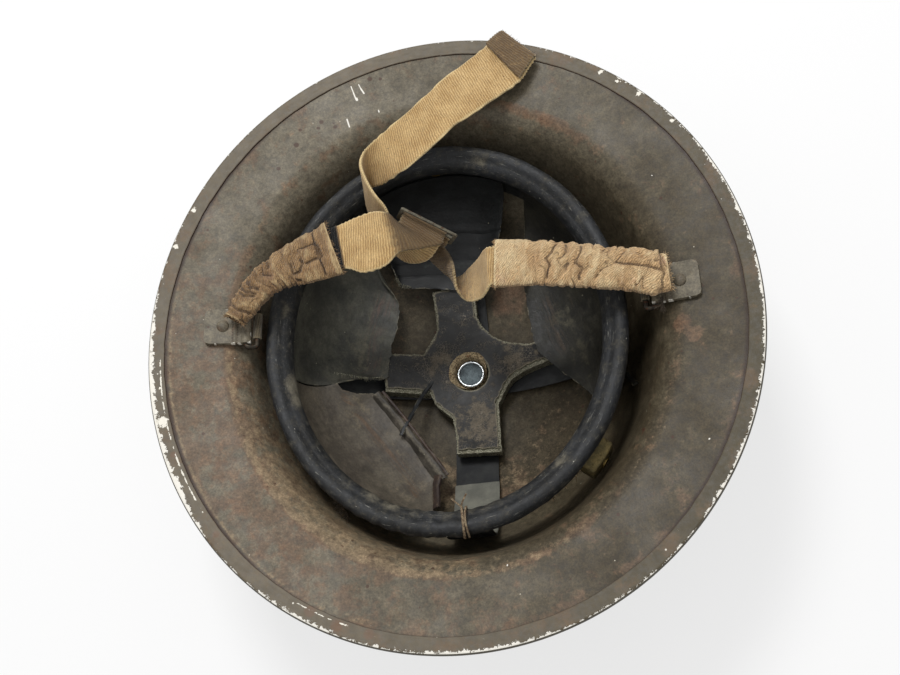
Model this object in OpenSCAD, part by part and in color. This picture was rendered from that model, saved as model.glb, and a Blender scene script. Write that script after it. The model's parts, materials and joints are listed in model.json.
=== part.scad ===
// Shallow steel helmet with a wide brim, lying crown down, with its liner and chinstrap.
// The origin is the middle of the crown screw's outer face, on which the helmet rests.
// +Z points up out of the bowl, +X to the right lug and +Y to the back of the helmet.

/* [Shell] */
// Length of the rim from front to back
rim_length = 303; // [298:0.5:315]
// Width of the rim from side to side
rim_width = 289; // [285:0.5:300]
// Height of the rim's edge above the crown screw's outer face
rim_height = 107.3; // [105:0.5:112]
// Thickness of the pressed steel
shell_wall = 1.1; // [0.8:0.1:1.5]
// Length of the bowl at the top of its wall
bowl_length = 224.5; // [222:0.5:230]
// Width of the bowl at the top of its wall
bowl_width = 202.5; // [201:0.5:208]
// Slope of the brim in degrees
brim_slope = 13; // [11:0.5:15]
// Steepness of the bowl's wall in degrees
wall_angle = 76; // [75:0.5:79]
// Radius of the flare between the wall and the brim
flare_radius = 15; // [12:0.5:17]
// Radius of the shoulder between the crown and the wall
shoulder_radius = 65; // [60:1:68]
// Angle at which the crown's arc meets the shoulder in degrees
crown_angle = 30; // [27:0.5:32]

/* [Rim band] */
// Width of the folded steel strip over the rim
band_leg = 6.5; // [4:0.5:9]
// Thickness of the folded steel strip
band_wall = 0.6; // [0.4:0.1:1]

/* [Lugs] */
// Distance of each lug's rivet in from the flare's outer edge
lug_inset = 1.4; // [0.6:0.1:3]
// Distance of the lugs behind the middle of the helmet
lug_y = 6.5; // [0:0.5:12]
// Width of a lug
lug_width = 18; // [14:0.5:20]
// Thickness of one layer of a lug
lug_sheet = 1.2; // [0.8:0.1:1.4]
// Length of a lug from its rivet to its outer end
lug_tail = 9; // [7:0.5:12]
// Length of a lug from its rivet to its knuckle
lug_reach = 11.4; // [11:0.1:12.5]
// Diameter of a lug's rivet
lug_rivet_d = 4; // [3:0.1:4.4]
// Diameter of the wire loops
wire_d = 2.6; // [2.2:0.1:2.8]
// Length of the wire loops from the knuckle to the strap's bar
wire_reach = 5.4; // [5.2:0.1:7]
// Slope at which the wire loops lie, in degrees
wire_droop = 16; // [12:1:18]

/* [Crown screw] */
// Diameter of the screw's head
screw_head_d = 15; // [12:0.5:18]
// Thickness of the screw's head
screw_head_h = 2; // [1.5:0.1:2.5]
// Diameter of the screw
screw_d = 5; // [4:0.1:6]
// Diameter of the nut
nut_d = 15.6; // [13:0.1:17]
// Height of the nut
nut_h = 5.6; // [5:0.1:7]

/* [Headband] */
// Room between the bowl's outer skin and the headband's inner cover, at the front and the back
room_long = 18.25; // [17.75:0.25:20]
// Room between the bowl's outer skin and the headband's inner cover, at the sides
room_wide = 19.05; // [18.75:0.1:21]
// Thickness of the inner cover
lining_sheet = 0.9; // [0.6:0.1:1.1]
// Thickness of the stiff band
headband_sheet = 1.5; // [1:0.1:1.7]
// Height of the headband's lower edge
headband_low = 60; // [58:0.5:62]
// Height of the headband's upper edge
headband_top = 80.6; // [79:0.1:81]
// Width of the padded roll
roll_width = 12; // [10:0.2:12.4]
// Height of the padded roll
roll_height = 11.2; // [10:0.2:12]
// Distance that the liner lies to the left of the shell's middle
liner_left = 3.5; // [2.5:0.1:4]

/* [Crown pad] */
// Width of the pad's arms
pad_width = 23; // [20:0.5:26]
// Thickness of the felt
pad_felt = 8; // [6:0.5:8.5]
// Thickness of the pad's cover
pad_cover = 0.9; // [0.6:0.1:1.2]
// Diameter of the hole in the pad
pad_hole_d = 20.2; // [19.4:0.2:21.6]
// Width of the frame's straps
frame_width = 23; // [20:0.5:26]
// Thickness of the frame's straps
frame_sheet = 1.4; // [1:0.1:1.6]

/* [Buffers] */
// Width of a rubber buffer along the headband
buffer_width = 17; // [12:0.5:20]
// Height of a rubber buffer
buffer_height = 16; // [12:0.5:17]
// Thickness of a rubber buffer
buffer_depth = 12; // [8:0.5:13]

/* [Chinstrap] */
// Thickness of the webbing
webbing_sheet = 1.6; // [1.2:0.1:1.8]
// Thickness of the sleeves' cloth
sleeve_sheet = 1; // [0.8:0.1:1.2]
// Number of gathers in a sleeve
gathers = 7; // [4:1:9]
// Depth of the gathers
gather_depth = 0.7; // [0.2:0.1:0.9]
// Outer diameter of the springs in the sleeves
spring_d = 3.6; // [3:0.1:3.8]
// Length of the buckle along its bars
buckle_length = 30.6; // [30:0.2:34]
// Thickness of the buckle's sheet
buckle_sheet = 1.2; // [0.8:0.1:1.2]
// Width of the buckle's bars
buckle_bar = 1.8; // [1.4:0.1:2]

/* [Hidden] */

// Gap between pieces that lie on each other
seat_gap = 0.15;
// Gap round a pin or a wire that turns
turn_gap = 0.1;
// Gap between a soft piece and its neighbour
soft_gap = 0.4;
// Number of steps round the shell
rim_steps = 60;
// Radius at which the shell's crown starts, inside the screw's hole
crown_start = 1.5;
// Steps along each stretch of the shell's outline
crown_steps = 4;
shoulder_steps = 6;
flare_steps = 5;
brim_steps = 2;
// Smoothness of round cuts and pins
$fn = 48;

// Vectors and curves

function unit(v) = v / norm(v);

function blend(a, b, t) = a + (b - a) * t;

// Distance from the middle to an ellipse with half widths a and b, in the direction az
function polar_r(a, b, az) = a * b / sqrt(pow(b * cos(az), 2) + pow(a * sin(az), 2));

// Smooth curve through points p, with a number of steps between each two
function spline(p, steps) =
    let (n = len(p))
    concat(
        [for (i = [0:n - 2], j = [0:steps - 1])
            let (
                t = j / steps,
                a = p[max(i - 1, 0)],
                b = p[i],
                c = p[i + 1],
                d = p[min(i + 2, n - 1)]
            )
            0.5 * (2 * b + (c - a) * t + (2 * a - 5 * b + 4 * c - d) * t * t
                + (3 * b - a - 3 * c + d) * t * t * t)],
        [p[n - 1]]);

// Direction of travel at point i of a curve
function heading(p, i) = unit(p[min(i + 1, len(p) - 1)] - p[max(i - 1, 0)]);

// Solid whose loops go round and come back to the first
module ring_skin(loops) {
    n = len(loops);
    m = len(loops[0]);
    polyhedron(
        points = [for (l = loops) each l],
        faces = [for (i = [0:n - 1], k = [0:m - 1])
            let (
                a = i * m + k,
                b = i * m + (k + 1) % m,
                c = (i + 1) % n * m + (k + 1) % m,
                d = (i + 1) % n * m + k
            )
            each [[a, b, c], [a, c, d]]],
        convexity = 8);
}

// Solid whose rings run from end to end; ring point k lies over point m - 1 - k
module strip_skin(rings) {
    n = len(rings);
    m = len(rings[0]);
    last = (n - 1) * m;
    polyhedron(
        points = [for (r = rings) each r],
        faces = concat(
            [for (i = [0:n - 2], k = [0:m - 1])
                let (
                    a = i * m + k,
                    b = i * m + (k + 1) % m,
                    c = (i + 1) * m + (k + 1) % m,
                    d = (i + 1) * m + k
                )
                each [[a, b, c], [a, c, d]]],
            [for (k = [0:m / 2 - 2])
                each [[m - 1 - k, m - 2 - k, k + 1], [m - 1 - k, k + 1, k]]],
            [for (k = [0:m / 2 - 2])
                each [[last + k, last + k + 1, last + m - 2 - k],
                    [last + k, last + m - 2 - k, last + m - 1 - k]]]),
        convexity = 8);
}

// Flat strip whose two edges run through the pairs of points in stations
function ribbon_rings(stations, sheet, steps) =
    let (
        edge_a = spline([for (s = stations) s[0]], steps),
        edge_b = spline([for (s = stations) s[1]], steps),
        middle = (edge_a + edge_b) / 2
    )
    [for (i = [0:len(middle) - 1])
        let (
            lift = unit(cross(edge_b[i] - edge_a[i], heading(middle, i))) * sheet / 2
        )
        [edge_a[i] + lift, edge_a[i] - lift, edge_b[i] - lift, edge_b[i] + lift]];

// Shell

// Outer skin at azimuth az: points [distance, height, slope] from the crown to the rim
function skin_chain(az) =
    let (
        rim_r = polar_r(rim_width / 2, rim_length / 2, az),
        wall_r = polar_r(bowl_width / 2, bowl_length / 2, az),
        flare_r = wall_r + flare_radius * (sin(wall_angle) - sin(brim_slope)),
        flare_z = rim_height - (rim_r - flare_r) * tan(brim_slope),
        wall_z = flare_z - flare_radius * (cos(brim_slope) - cos(wall_angle)),
        reach = wall_r - shoulder_radius * (sin(wall_angle) - sin(crown_angle)),
        rise = wall_z - screw_head_h - shoulder_radius * (cos(crown_angle) - cos(wall_angle)),
        scale = (1 - cos(crown_angle)) * cos(wall_angle) - sin(wall_angle) * sin(crown_angle),
        crown_radius = (rise * cos(wall_angle) - reach * sin(wall_angle)) / scale,
        crown_r = crown_radius * sin(crown_angle),
        crown_z = screw_head_h + crown_radius * (1 - cos(crown_angle)),
        first = asin(crown_start / crown_radius)
    )
    concat(
        [for (i = [0:crown_steps])
            let (a = blend(first, crown_angle, i / crown_steps))
            [crown_radius * sin(a), screw_head_h + crown_radius * (1 - cos(a)), a]],
        [for (i = [1:shoulder_steps])
            let (a = blend(crown_angle, wall_angle, i / shoulder_steps))
            [crown_r + shoulder_radius * (sin(a) - sin(crown_angle)),
                crown_z + shoulder_radius * (cos(crown_angle) - cos(a)), a]],
        [for (i = [0:flare_steps])
            let (a = blend(wall_angle, brim_slope, i / flare_steps))
            [wall_r + flare_radius * (sin(wall_angle) - sin(a)),
                wall_z + flare_radius * (cos(a) - cos(wall_angle)), a]],
        [for (i = [1:brim_steps])
            [blend(flare_r, rim_r, i / brim_steps), blend(flare_z, rim_height, i / brim_steps),
                brim_slope]]);

// Point of the skin's station s, raised into the bowl by a distance
function skin_point(s, lift, az) =
    let (r = s[0] - lift * sin(s[2]))
    [r * cos(az), r * sin(az), s[1] + lift * cos(s[2])];

// Distance from the top of the bowl's wall out to the brim
flare_run = flare_radius * (sin(wall_angle) - sin(brim_slope));
// Distance of each lug's rivet from the middle of the helmet
lug_x = bowl_width / 2 + flare_run - lug_inset;
// Height of the brim's outer skin at a distance from the middle, on the lugs' side
lug_az = atan2(lug_y, lug_x);
function brim_z(r) = rim_height - (polar_r(rim_width / 2, rim_length / 2, lug_az) - r) * tan(brim_slope);
lug_low = brim_z(norm([lug_x, lug_y]));

module shell() {
    color("#5d5546")
    difference() {
        ring_skin([for (i = [0:rim_steps - 1])
            let (
                az = 360 * i / rim_steps,
                chain = skin_chain(az)
            )
            concat(
                [for (s = chain) skin_point(s, 0, az)],
                [for (k = [len(chain) - 1:-1:0]) skin_point(chain[k], shell_wall, az)])]);
        cylinder(d = screw_d + 2 * seat_gap, h = 4 * (screw_head_h + shell_wall), center = true);
        both_lugs() cylinder(d = lug_rivet_d + 2 * seat_gap, h = 8 * shell_wall, center = true);
    }
}

// Rim band

band_mid = shell_wall / 2 + seat_gap;
band_turns = 4;

// Folded section round the rim's edge: [inward, upward] from the middle of the shell's edge
function band_section() =
    concat(
        [[band_leg, band_mid + band_wall]],
        [for (i = [0:band_turns])
            let (a = 90 + 180 * i / band_turns)
            [(band_mid + band_wall) * cos(a), (band_mid + band_wall) * sin(a)]],
        [[band_leg, -band_mid - band_wall], [band_leg, -band_mid]],
        [for (i = [0:band_turns])
            let (a = 270 - 180 * i / band_turns)
            [band_mid * cos(a) - seat_gap, band_mid * sin(a)]],
        [[band_leg, band_mid]]);

module rim_band() {
    color("#4f483b")
    ring_skin([for (i = [rim_steps - 1:-1:0])
        let (
            az = 360 * i / rim_steps,
            edge_r = polar_r(rim_width / 2, rim_length / 2, az) - shell_wall / 2 * sin(brim_slope),
            edge_z = rim_height + shell_wall / 2 * cos(brim_slope)
        )
        [for (s = band_section())
            let (r = edge_r - s[0] * cos(brim_slope) - s[1] * sin(brim_slope))
            [r * cos(az), r * sin(az), edge_z - s[0] * sin(brim_slope) + s[1] * cos(brim_slope)]]]);
}

// Lugs, rivets and wire loops
// A lug's own axes lie at its rivet on the shell's outer skin, with X outward along the brim

lug_seat = shell_wall + 2.5 * seat_gap;
knuckle_bore = wire_d / 2 + turn_gap;
knuckle_r = knuckle_bore + lug_sheet;
knuckle_z = lug_seat + lug_sheet;
wire_bend = wire_d / 2 + 0.2;
wire_span = lug_width + 2 * wire_bend + 2 * turn_gap;

module at_lug() {
    translate([lug_x, lug_y, lug_low])
        rotate([0, -brim_slope, 0])
            children();
}

module both_lugs() {
    at_lug() children();
    mirror([1, 0, 0]) at_lug() children();
}

module at_knuckle() {
    at_lug() translate([-lug_reach, 0, knuckle_z]) children();
}

module lug() {
    color("#6a6354")
    at_lug()
    difference() {
        union() {
            translate([-lug_reach, -lug_width / 2, lug_seat])
                cube([lug_reach + lug_tail, lug_width, 2 * lug_sheet]);
            translate([-lug_reach, 0, knuckle_z])
                rotate([90, 0, 0])
                    cylinder(r = knuckle_r, h = lug_width, center = true);
        }
        translate([-lug_reach, 0, knuckle_z])
            rotate([90, 0, 0])
                cylinder(r = knuckle_bore, h = 2 * lug_width, center = true);
        cylinder(d = lug_rivet_d + 2 * seat_gap, h = 20 * lug_sheet, center = true);
    }
}

module lug_left() {
    mirror([1, 0, 0]) lug();
}

module lug_right() {
    lug();
}

rivet_dome_d = lug_rivet_d + 2;
rivet_dome_h = 1.6;
brim_falls = 0.95;

// Domed head inside on the lug, flat head outside under the brim
module lug_rivets() {
    top = lug_seat + 2 * lug_sheet + seat_gap;
    color("#5a5346")
    both_lugs() {
        translate([0, 0, -brim_falls])
            cylinder(d = lug_rivet_d, h = top + brim_falls + rivet_dome_h / 2);
        translate([0, 0, -brim_falls - rivet_dome_h / 2])
            cylinder(d = rivet_dome_d, h = rivet_dome_h / 2);
        translate([0, 0, top])
            intersection() {
                cylinder(d = rivet_dome_d, h = rivet_dome_h);
                translate([0, 0, rivet_dome_h - rivet_dome_d])
                    sphere(r = rivet_dome_d);
            }
    }
}

// Rectangle of round wire with rounded corners; it lies along X from the knuckle
module wire_loop() {
    color("#4b443a")
    at_wire() {
        for (x = [0, wire_reach])
            translate([x, 0, 0])
                rotate([90, 0, 0])
                    cylinder(d = wire_d, h = wire_span - 2 * wire_bend, center = true);
        for (y = [-wire_span / 2, wire_span / 2])
            translate([wire_bend, y, 0])
                rotate([0, 90, 0])
                    cylinder(d = wire_d, h = wire_reach - 2 * wire_bend);
        for (i = [0:3])
            let (
                x = i == 0 || i == 3 ? wire_reach - wire_bend : wire_bend,
                y = (i < 2 ? 1 : -1) * (wire_span / 2 - wire_bend)
            )
            translate([x, y, 0])
                rotate([0, 0, 90 * i])
                    rotate_extrude(angle = 90)
                        translate([wire_bend, 0])
                            circle(d = wire_d);
    }
}

// The wire loop lies inward from the knuckle and a little down
module at_wire() {
    at_knuckle()
        rotate([0, brim_slope, 0])
            rotate([0, 180 - wire_droop, 0])
                children();
}

module wire_loop_left() {
    mirror([1, 0, 0]) wire_loop();
}

module wire_loop_right() {
    wire_loop();
}

tab_width = 13;
tab_sheet = 0.7;

// Cloth eye of the strap round the wire loop's inner bar
module strap_tab() {
    color("#b79a76")
    at_wire()
        translate([wire_reach, 0, 0])
            rotate([90, 0, 0])
                difference() {
                    cylinder(r = wire_d / 2 + turn_gap + tab_sheet, h = tab_width, center = true);
                    cylinder(r = wire_d / 2 + turn_gap, h = 2 * tab_width, center = true);
                }
}

module strap_tab_left() {
    mirror([1, 0, 0]) strap_tab();
}

module strap_tab_right() {
    strap_tab();
}

// Crown screw, washer and nut

crown_floor = screw_head_h + shell_wall;
strap_clearance = 1.3;
long_low = crown_floor + strap_clearance;
cross_low = long_low + frame_sheet + 2 * seat_gap;
pad_low = cross_low + frame_sheet + 2 * seat_gap;
washer_d = pad_hole_d - 2;
washer_h = 1.2;
nut_low = pad_low + washer_h + seat_gap;
nut_lip = 1.2;
nut_cup_d = nut_d - 2 * nut_lip;
nut_cup_h = 1.4;
slot_width = 1.8;
slot_depth = 1;

module crown_screw() {
    color("#6b655a")
    difference() {
        rotate_extrude()
            polygon([[0, 0], [screw_head_d / 2 - 0.8, 0], [screw_head_d / 2, 0.8],
                [screw_head_d / 2, screw_head_h - seat_gap], [screw_d / 2, screw_head_h - seat_gap],
                [screw_d / 2, nut_low + nut_h - nut_cup_h], [0, nut_low + nut_h - nut_cup_h]]);
        translate([-slot_width / 2, -screw_head_d, -slot_depth])
            cube([slot_width, 2 * screw_head_d, 2 * slot_depth]);
    }
}

module crown_washer() {
    color("#8d8578")
    translate([0, 0, pad_low])
        difference() {
            cylinder(d = washer_d, h = washer_h);
            translate([0, 0, -washer_h])
                cylinder(d = screw_d + 2 * seat_gap, h = 3 * washer_h);
        }
}

module crown_nut() {
    color("#b9bcbc")
    translate([0, 0, nut_low])
        difference() {
            cylinder(d = nut_d, h = nut_h);
            translate([0, 0, -nut_h])
                cylinder(d = screw_d + 2 * seat_gap, h = 3 * nut_h);
            translate([0, 0, nut_h - nut_cup_h])
                cylinder(d = nut_cup_d, h = 2 * nut_cup_h);
        }
}

// Headband, its lining and its roll

// Half sizes [x, y] of each layer of the headband, from the inside out
lining_in = [bowl_width / 2 - room_wide, bowl_length / 2 - room_long];
lining_out = lining_in + [1, 1] * lining_sheet;
headband_in = lining_out + [1, 1] * seat_gap;
headband_out = headband_in + [1, 1] * headband_sheet;
frame_in = headband_out + [1, 1] * seat_gap;
frame_mid = frame_in + [1, 1] * frame_sheet / 2;
roll_mid = (lining_in + headband_out) / 2;
roll_z = headband_top + seat_gap + roll_height / 2;
liner_mid = [-liner_left, 0.5, 0];

function oval(half) =
    [for (i = [0:rim_steps - 1])
        let (t = 360 * i / rim_steps)
        [half.x * cos(t), half.y * sin(t)]];

module oval_wall(inner, outer, low, high) {
    translate([0, 0, low])
        linear_extrude(high - low)
            difference() {
                polygon(oval(outer));
                polygon(oval(inner));
            }
}

rivet_z = headband_top - 4;
frame_rivet_d = 3;
buffer_rivet_z = headband_low + buffer_height / 2;
buffer_gap = 1.8;
buffer_azimuths = [136, 319.5];
tie_azimuth = 274;
tie_thread_d = 1.4;
tie_ring_r = roll_width / 2 + tie_thread_d / 2 + soft_gap;

// Children on the headband's outer face at azimuth t, with X outward
module on_headband(t, z) {
    foot = [headband_out.x * cos(t), headband_out.y * sin(t), z];
    turn = atan2(headband_out.x * sin(t), headband_out.y * cos(t));
    translate(liner_mid + foot)
        rotate([0, 0, turn])
            children();
}

// Holes for the rivets and the notch for the tie thread
module headband_cuts() {
    for (i = [0:3])
        on_headband(frame_turns[i], rivet_z)
            rotate([0, 90, 0])
                cylinder(d = frame_rivet_d + 2 * seat_gap, h = 2 * buffer_depth, center = true);
    for (t = buffer_azimuths)
        on_headband(t, buffer_rivet_z)
            rotate([0, 90, 0])
                cylinder(d = frame_rivet_d + 2 * seat_gap, h = 4 * buffer_depth, center = true);
    on_headband(tie_azimuth, roll_z)
        translate([-roll_width / 2, -tie_thread_d, -tie_ring_r - tie_thread_d])
            cube([roll_width, 2 * tie_thread_d, 2 * tie_ring_r]);
}

module headband() {
    color("#2b2a28")
    difference() {
        translate(liner_mid) oval_wall(headband_in, headband_out, headband_low, headband_top);
        headband_cuts();
    }
}

module headband_lining() {
    color("#1d1e20")
    difference() {
        translate(liner_mid) oval_wall(lining_in, lining_out, headband_low, headband_top);
        headband_cuts();
    }
}

roll_turns = 10;

module headband_roll() {
    color("#24262a")
    ring_skin([for (i = [0:rim_steps - 1])
        let (t = 360 * i / rim_steps, out = unit([roll_mid.y * cos(t), roll_mid.x * sin(t)]))
        [for (k = [0:roll_turns - 1])
            let (
                a = 360 * k / roll_turns - 90,
                w = roll_width / 2 * cos(a)
            )
            liner_mid + [roll_mid.x * cos(t) + w * out.x, roll_mid.y * sin(t) + w * out.y,
                roll_z + roll_height / 2 * sin(a)]]]);
}

// Crossing straps that carry the headband from the crown

frame_turns = [0, 91.5, 180, 271.5];
frame_curl = 1.68;
frame_bend_z = headband_low - 0.8;
frame_flat = nut_d / 2 + 1.2;

// Distance from the crown's middle to the strap's upright end at arm i
function arm_reach(i) =
    let (
        t = frame_turns[i],
        p = liner_mid + [frame_mid.x * cos(t), frame_mid.y * sin(t), 0]
    )
    norm([p.x, p.y]);

// Height above a strap's flat middle at a distance s along arm i
function arm_rise(i, s) =
    let (share = pow(max(0, s - frame_flat) / (arm_reach(i) - frame_flat), frame_curl))
    (frame_bend_z - long_low) * (1 - pow(1 - share, 1 / frame_curl));

arm_steps = 14;

// Middle line of an arm, from its upright end to its flat middle: [distance, height]
function arm_line(i, low) =
    concat(
        [[arm_reach(i), headband_top - 0.4], [arm_reach(i), frame_bend_z]],
        [for (k = [1:arm_steps])
            let (s = blend(frame_flat, arm_reach(i), sin(90 * (1 - k / arm_steps))))
            [s, low + frame_sheet / 2 + arm_rise(i, s)]]);

// Strap over both arms i and i + 2, with its middle line at the height low over the crown
module frame_strap(i, low) {
    there = arm_line(i, low);
    back = arm_line(i + 2, low);
    line = concat(there, [for (k = [len(back) - 1:-1:0]) [-back[k][0], back[k][1]]]);
    path = [for (p = line) [p[0], 0, p[1]]];
    rings = [for (k = [0:len(path) - 1])
        let (
            ahead = heading(path, k),
            lift = [-ahead.z, 0, ahead.x] * frame_sheet / 2,
            side = [0, frame_width / 2, 0]
        )
        [path[k] - side - lift, path[k] - side + lift, path[k] + side + lift, path[k] + side - lift]];
    color("#4c463b")
    difference() {
        rotate([0, 0, frame_turns[i]])
            translate([0, frame_shift(i), 0])
                strip_skin(rings);
        cylinder(d = screw_d + 4 * seat_gap, h = 2 * headband_low, center = true);
        headband_cuts();
    }
}

// Sideways shift that centres a strap's ends on the headband's own middle
function frame_shift(i) = i == 0 ? liner_mid.y : -liner_mid.x * cos(frame_turns[i] - 90) / 2;

module frame_strap_long() {
    frame_strap(1, long_low);
}

module frame_strap_cross() {
    frame_strap(0, cross_low);
}

// Rivets through the lining, the headband and the straps' upright ends
module frame_rivets() {
    shank = frame_sheet + 2 * seat_gap + headband_sheet + lining_sheet + 2 * seat_gap;
    color("#7a6f56")
    for (i = [0:3])
        on_headband(frame_turns[i], rivet_z)
            rotate([0, 90, 0]) {
                translate([0, 0, -headband_sheet - lining_sheet - 3 * seat_gap])
                    cylinder(d = frame_rivet_d, h = shank + 3 * seat_gap);
                translate([0, 0, -headband_sheet - lining_sheet - 3 * seat_gap - 0.8])
                    cylinder(d = 2 * frame_rivet_d, h = 0.8);
                translate([0, 0, frame_sheet + 4 * seat_gap])
                    cylinder(d = 2 * frame_rivet_d, h = 0.8);
            }
}

// Crown pad: a felt cross on the straps, with an oilcloth cover

pad_turns = [0.5, 96.7];
pad_reach = [[47, 47.5], [49, 45.5]];
pad_steps = 6;
pad_lift = 0.4;

// Strip of the pad from its arm's end over the middle to the other end, between two heights
module pad_strip(i, low, high, trim) {
    stops = [for (k = [-pad_steps:pad_steps])
        let (ends = pad_reach[i])
        k < 0 ? (ends[1] - trim) * k / pad_steps : (ends[0] - trim) * k / pad_steps];
    half = pad_width / 2 - trim;
    rings = [for (s = stops)
        let (
            arm = i == 0 ? (s < 0 ? 2 : 0) : (s < 0 ? 3 : 1),
            z = arm_rise(arm, abs(s)) + pad_lift * abs(s) / pad_reach[i][0]
        )
        [[s, half, low + z], [s, -half, low + z], [s, -half, high + z], [s, half, high + z]]];
    rotate([0, 0, pad_turns[i]])
        strip_skin(rings);
}

module pad_layer(low, high, hole_d, trim) {
    difference() {
        union() {
            pad_strip(0, low, high, trim);
            pad_strip(1, low, high, trim);
        }
        cylinder(d = hole_d, h = rim_height);
    }
}

module crown_pad() {
    color("#8a8266")
    pad_layer(pad_low, pad_low + pad_felt, pad_hole_d, 0);
}

module crown_pad_cover() {
    top = pad_low + pad_felt + 3 * seat_gap;
    color("#26241f")
    pad_layer(top, top + pad_cover, pad_hole_d + 1.4, 0.6);
}

// Oilcloth tongues that hang inside the headband

tongue_top = rivet_z - frame_rivet_d - 1.4;
tongue_sheet = 1;
tongue_steps = 6;

// Each station: [azimuth on the headband, lower end in a lining of the size tongue_drawn]
tongue_drawn = [164.4, 188] / 2;
back_stations = [[121, [-37, 55, 36]], [112, [-35, 50.5, 29]], [97, [-19, 48.5, 28]],
    [83, [-6, 46.5, 28]], [74, [6, 45.5, 28.5]], [66, [15, 49, 36]]];
left_stations = [[188, [-66, -8, 45]], [179, [-57, -4, 35]], [169, [-46, -2, 28]],
    [156, [-42, 16, 27.5]], [143, [-38, 32, 27.5]], [134, [-38, 43, 28]], [126, [-45, 52, 38]]];
front_left_stations = [[194, [-66, -17, 48]], [203, [-56, -19, 39]], [213, [-45, -19, 34]],
    [225, [-32, -36, 31]], [237, [-21, -52, 29]], [246, [-17, -64, 32]], [254, [-18, -78, 41]]];
right_stations = [[58, [34, 46, 37]], [46, [35, 36, 31]], [30, [36, 21, 28]], [15, [39, 6, 29]],
    [2, [48, -6, 32]], [346, [60, -20, 41]], [336, [68, -31, 50]]];

// Point of a tongue at share v of the way down from the headband
function tongue_point(station, v) =
    let (
        t = station[0],
        half = lining_in - [1, 1] * (soft_gap + tongue_sheet / 2),
        a = liner_mid + [half.x * cos(t), half.y * sin(t), tongue_top],
        b = [station[1].x * lining_in.x / tongue_drawn.x, station[1].y * lining_in.y / tongue_drawn.y,
            station[1].z],
        in = 1 - cos(90 * v)
    )
    [blend(a.x, b.x, in), blend(a.y, b.y, in), blend(a.z, b.z, sin(90 * v))];

module tongue(stations) {
    count = len(stations) - 1;
    grid = [for (s = stations) [for (k = [0:tongue_steps]) tongue_point(s, k / tongue_steps)]];
    lift = [for (i = [0:count])
        [for (k = [0:tongue_steps])
            let (
                along = grid[min(i + 1, count)][k] - grid[max(i - 1, 0)][k],
                down = grid[i][min(k + 1, tongue_steps)] - grid[i][max(k - 1, 0)],
                n = unit(cross(along, down))
            )
            (n * [grid[i][k].x, grid[i][k].y, -60] > 0 ? n : -n) * tongue_sheet / 2]];
    rings = [for (i = [0:count])
        concat(
            [for (k = [0:tongue_steps]) grid[i][k] - lift[i][k]],
            [for (k = [tongue_steps:-1:0]) grid[i][k] + lift[i][k]])];
    strip_skin(stations[1][0] > stations[0][0] ? rings : [for (i = [count:-1:0]) rings[i]]);
}

module tongue_back() {
    color("#32332f") tongue(back_stations);
}

module tongue_left() {
    color("#3b3a33") tongue(left_stations);
}

module tongue_front_left() {
    color("#39352d") tongue(front_left_stations);
}

module tongue_right() {
    color("#35352f") tongue(right_stations);
}

// Rubber buffers between the headband and the shell

module buffers() {
    color("#5b5638")
    difference() {
        for (t = buffer_azimuths)
            on_headband(t, headband_low)
                translate([-4, -buffer_width / 2, 0])
                    cube([4 + buffer_out(t), buffer_width, buffer_height]);
        translate(liner_mid)
            oval_wall([1, 1], headband_out + [1, 1] * seat_gap, 0, rim_height);
        for (t = buffer_azimuths)
            on_headband(t, buffer_rivet_z)
                rotate([0, 90, 0])
                    cylinder(d = frame_rivet_d + 2 * seat_gap, h = 4 * buffer_depth, center = true);
    }
}

// Depth of the buffer at azimuth t: its own, or what the shell leaves it
function buffer_out(t) =
    let (
        half = [bowl_width, bowl_length] / 2,
        foot = liner_mid + [headband_out.x * cos(t), headband_out.y * sin(t), 0],
        away = norm([foot.x, foot.y]),
        wall_low = polar_r(half.x, half.y, atan2(foot.y, foot.x))
            - (wall_top_z - headband_low) / tan(wall_angle) - shell_wall / sin(wall_angle)
    )
    min(buffer_depth, wall_low - away - buffer_gap);

// Height of the wall's top at the bowl's side
wall_top_z = rim_height - flare_radius * (cos(brim_slope) - cos(wall_angle))
    - (rim_width / 2 - bowl_width / 2 - flare_run) * tan(brim_slope);

module buffer_rivets() {
    start = headband_sheet + lining_sheet + seat_gap;
    color("#6e6650")
    for (t = buffer_azimuths)
        on_headband(t, buffer_rivet_z)
            rotate([0, 90, 0]) {
                translate([0, 0, -start])
                    cylinder(d = frame_rivet_d, h = start + buffer_out(t) + 2 * seat_gap);
                translate([0, 0, buffer_out(t) + seat_gap])
                    cylinder(d = 2 * frame_rivet_d, h = 0.8);
            }
}

// Thread tied round the roll at the front
module tie_thread() {
    color("#6d6450")
    translate(liner_mid + [roll_mid.x * cos(tie_azimuth), roll_mid.y * sin(tie_azimuth), roll_z])
        rotate([90, 0, atan2(roll_mid.x * sin(tie_azimuth), roll_mid.y * cos(tie_azimuth))])
            rotate_extrude()
                translate([tie_ring_r, 0])
                    circle(d = tie_thread_d);
}

// The chinstrap's points are written for strap_drawn: [rivets' distance, rim's length, rim's height]
strap_drawn = [111.03, 303, 107.3];
strap_fit = [lug_x / strap_drawn.x, rim_length / strap_drawn.y, rim_height / strap_drawn.z];
// Height of the brim under the rivets for which they are written, and how far the lugs have risen since
lug_low_drawn = 99.61;
lug_rise = lug_low - lug_low_drawn * strap_fit.z;

// Point of the chinstrap, moved with the lugs and the rim; the lugs' rise fades out towards the back
function fitted(p) =
    [p.x * strap_fit.x, p.y * strap_fit.y, p.z * strap_fit.z + lug_rise * (1 - 2 * p.y / strap_drawn.y)];

// Pairs of edge points, moved with the lugs and the rim
function fitted_pairs(stations) = [for (s = stations) [fitted(s[0]), fitted(s[1])]];

// Sleeves of gathered cloth over the springs
// Each station: [middle, width, thickness], from the lug to the webbing

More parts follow.
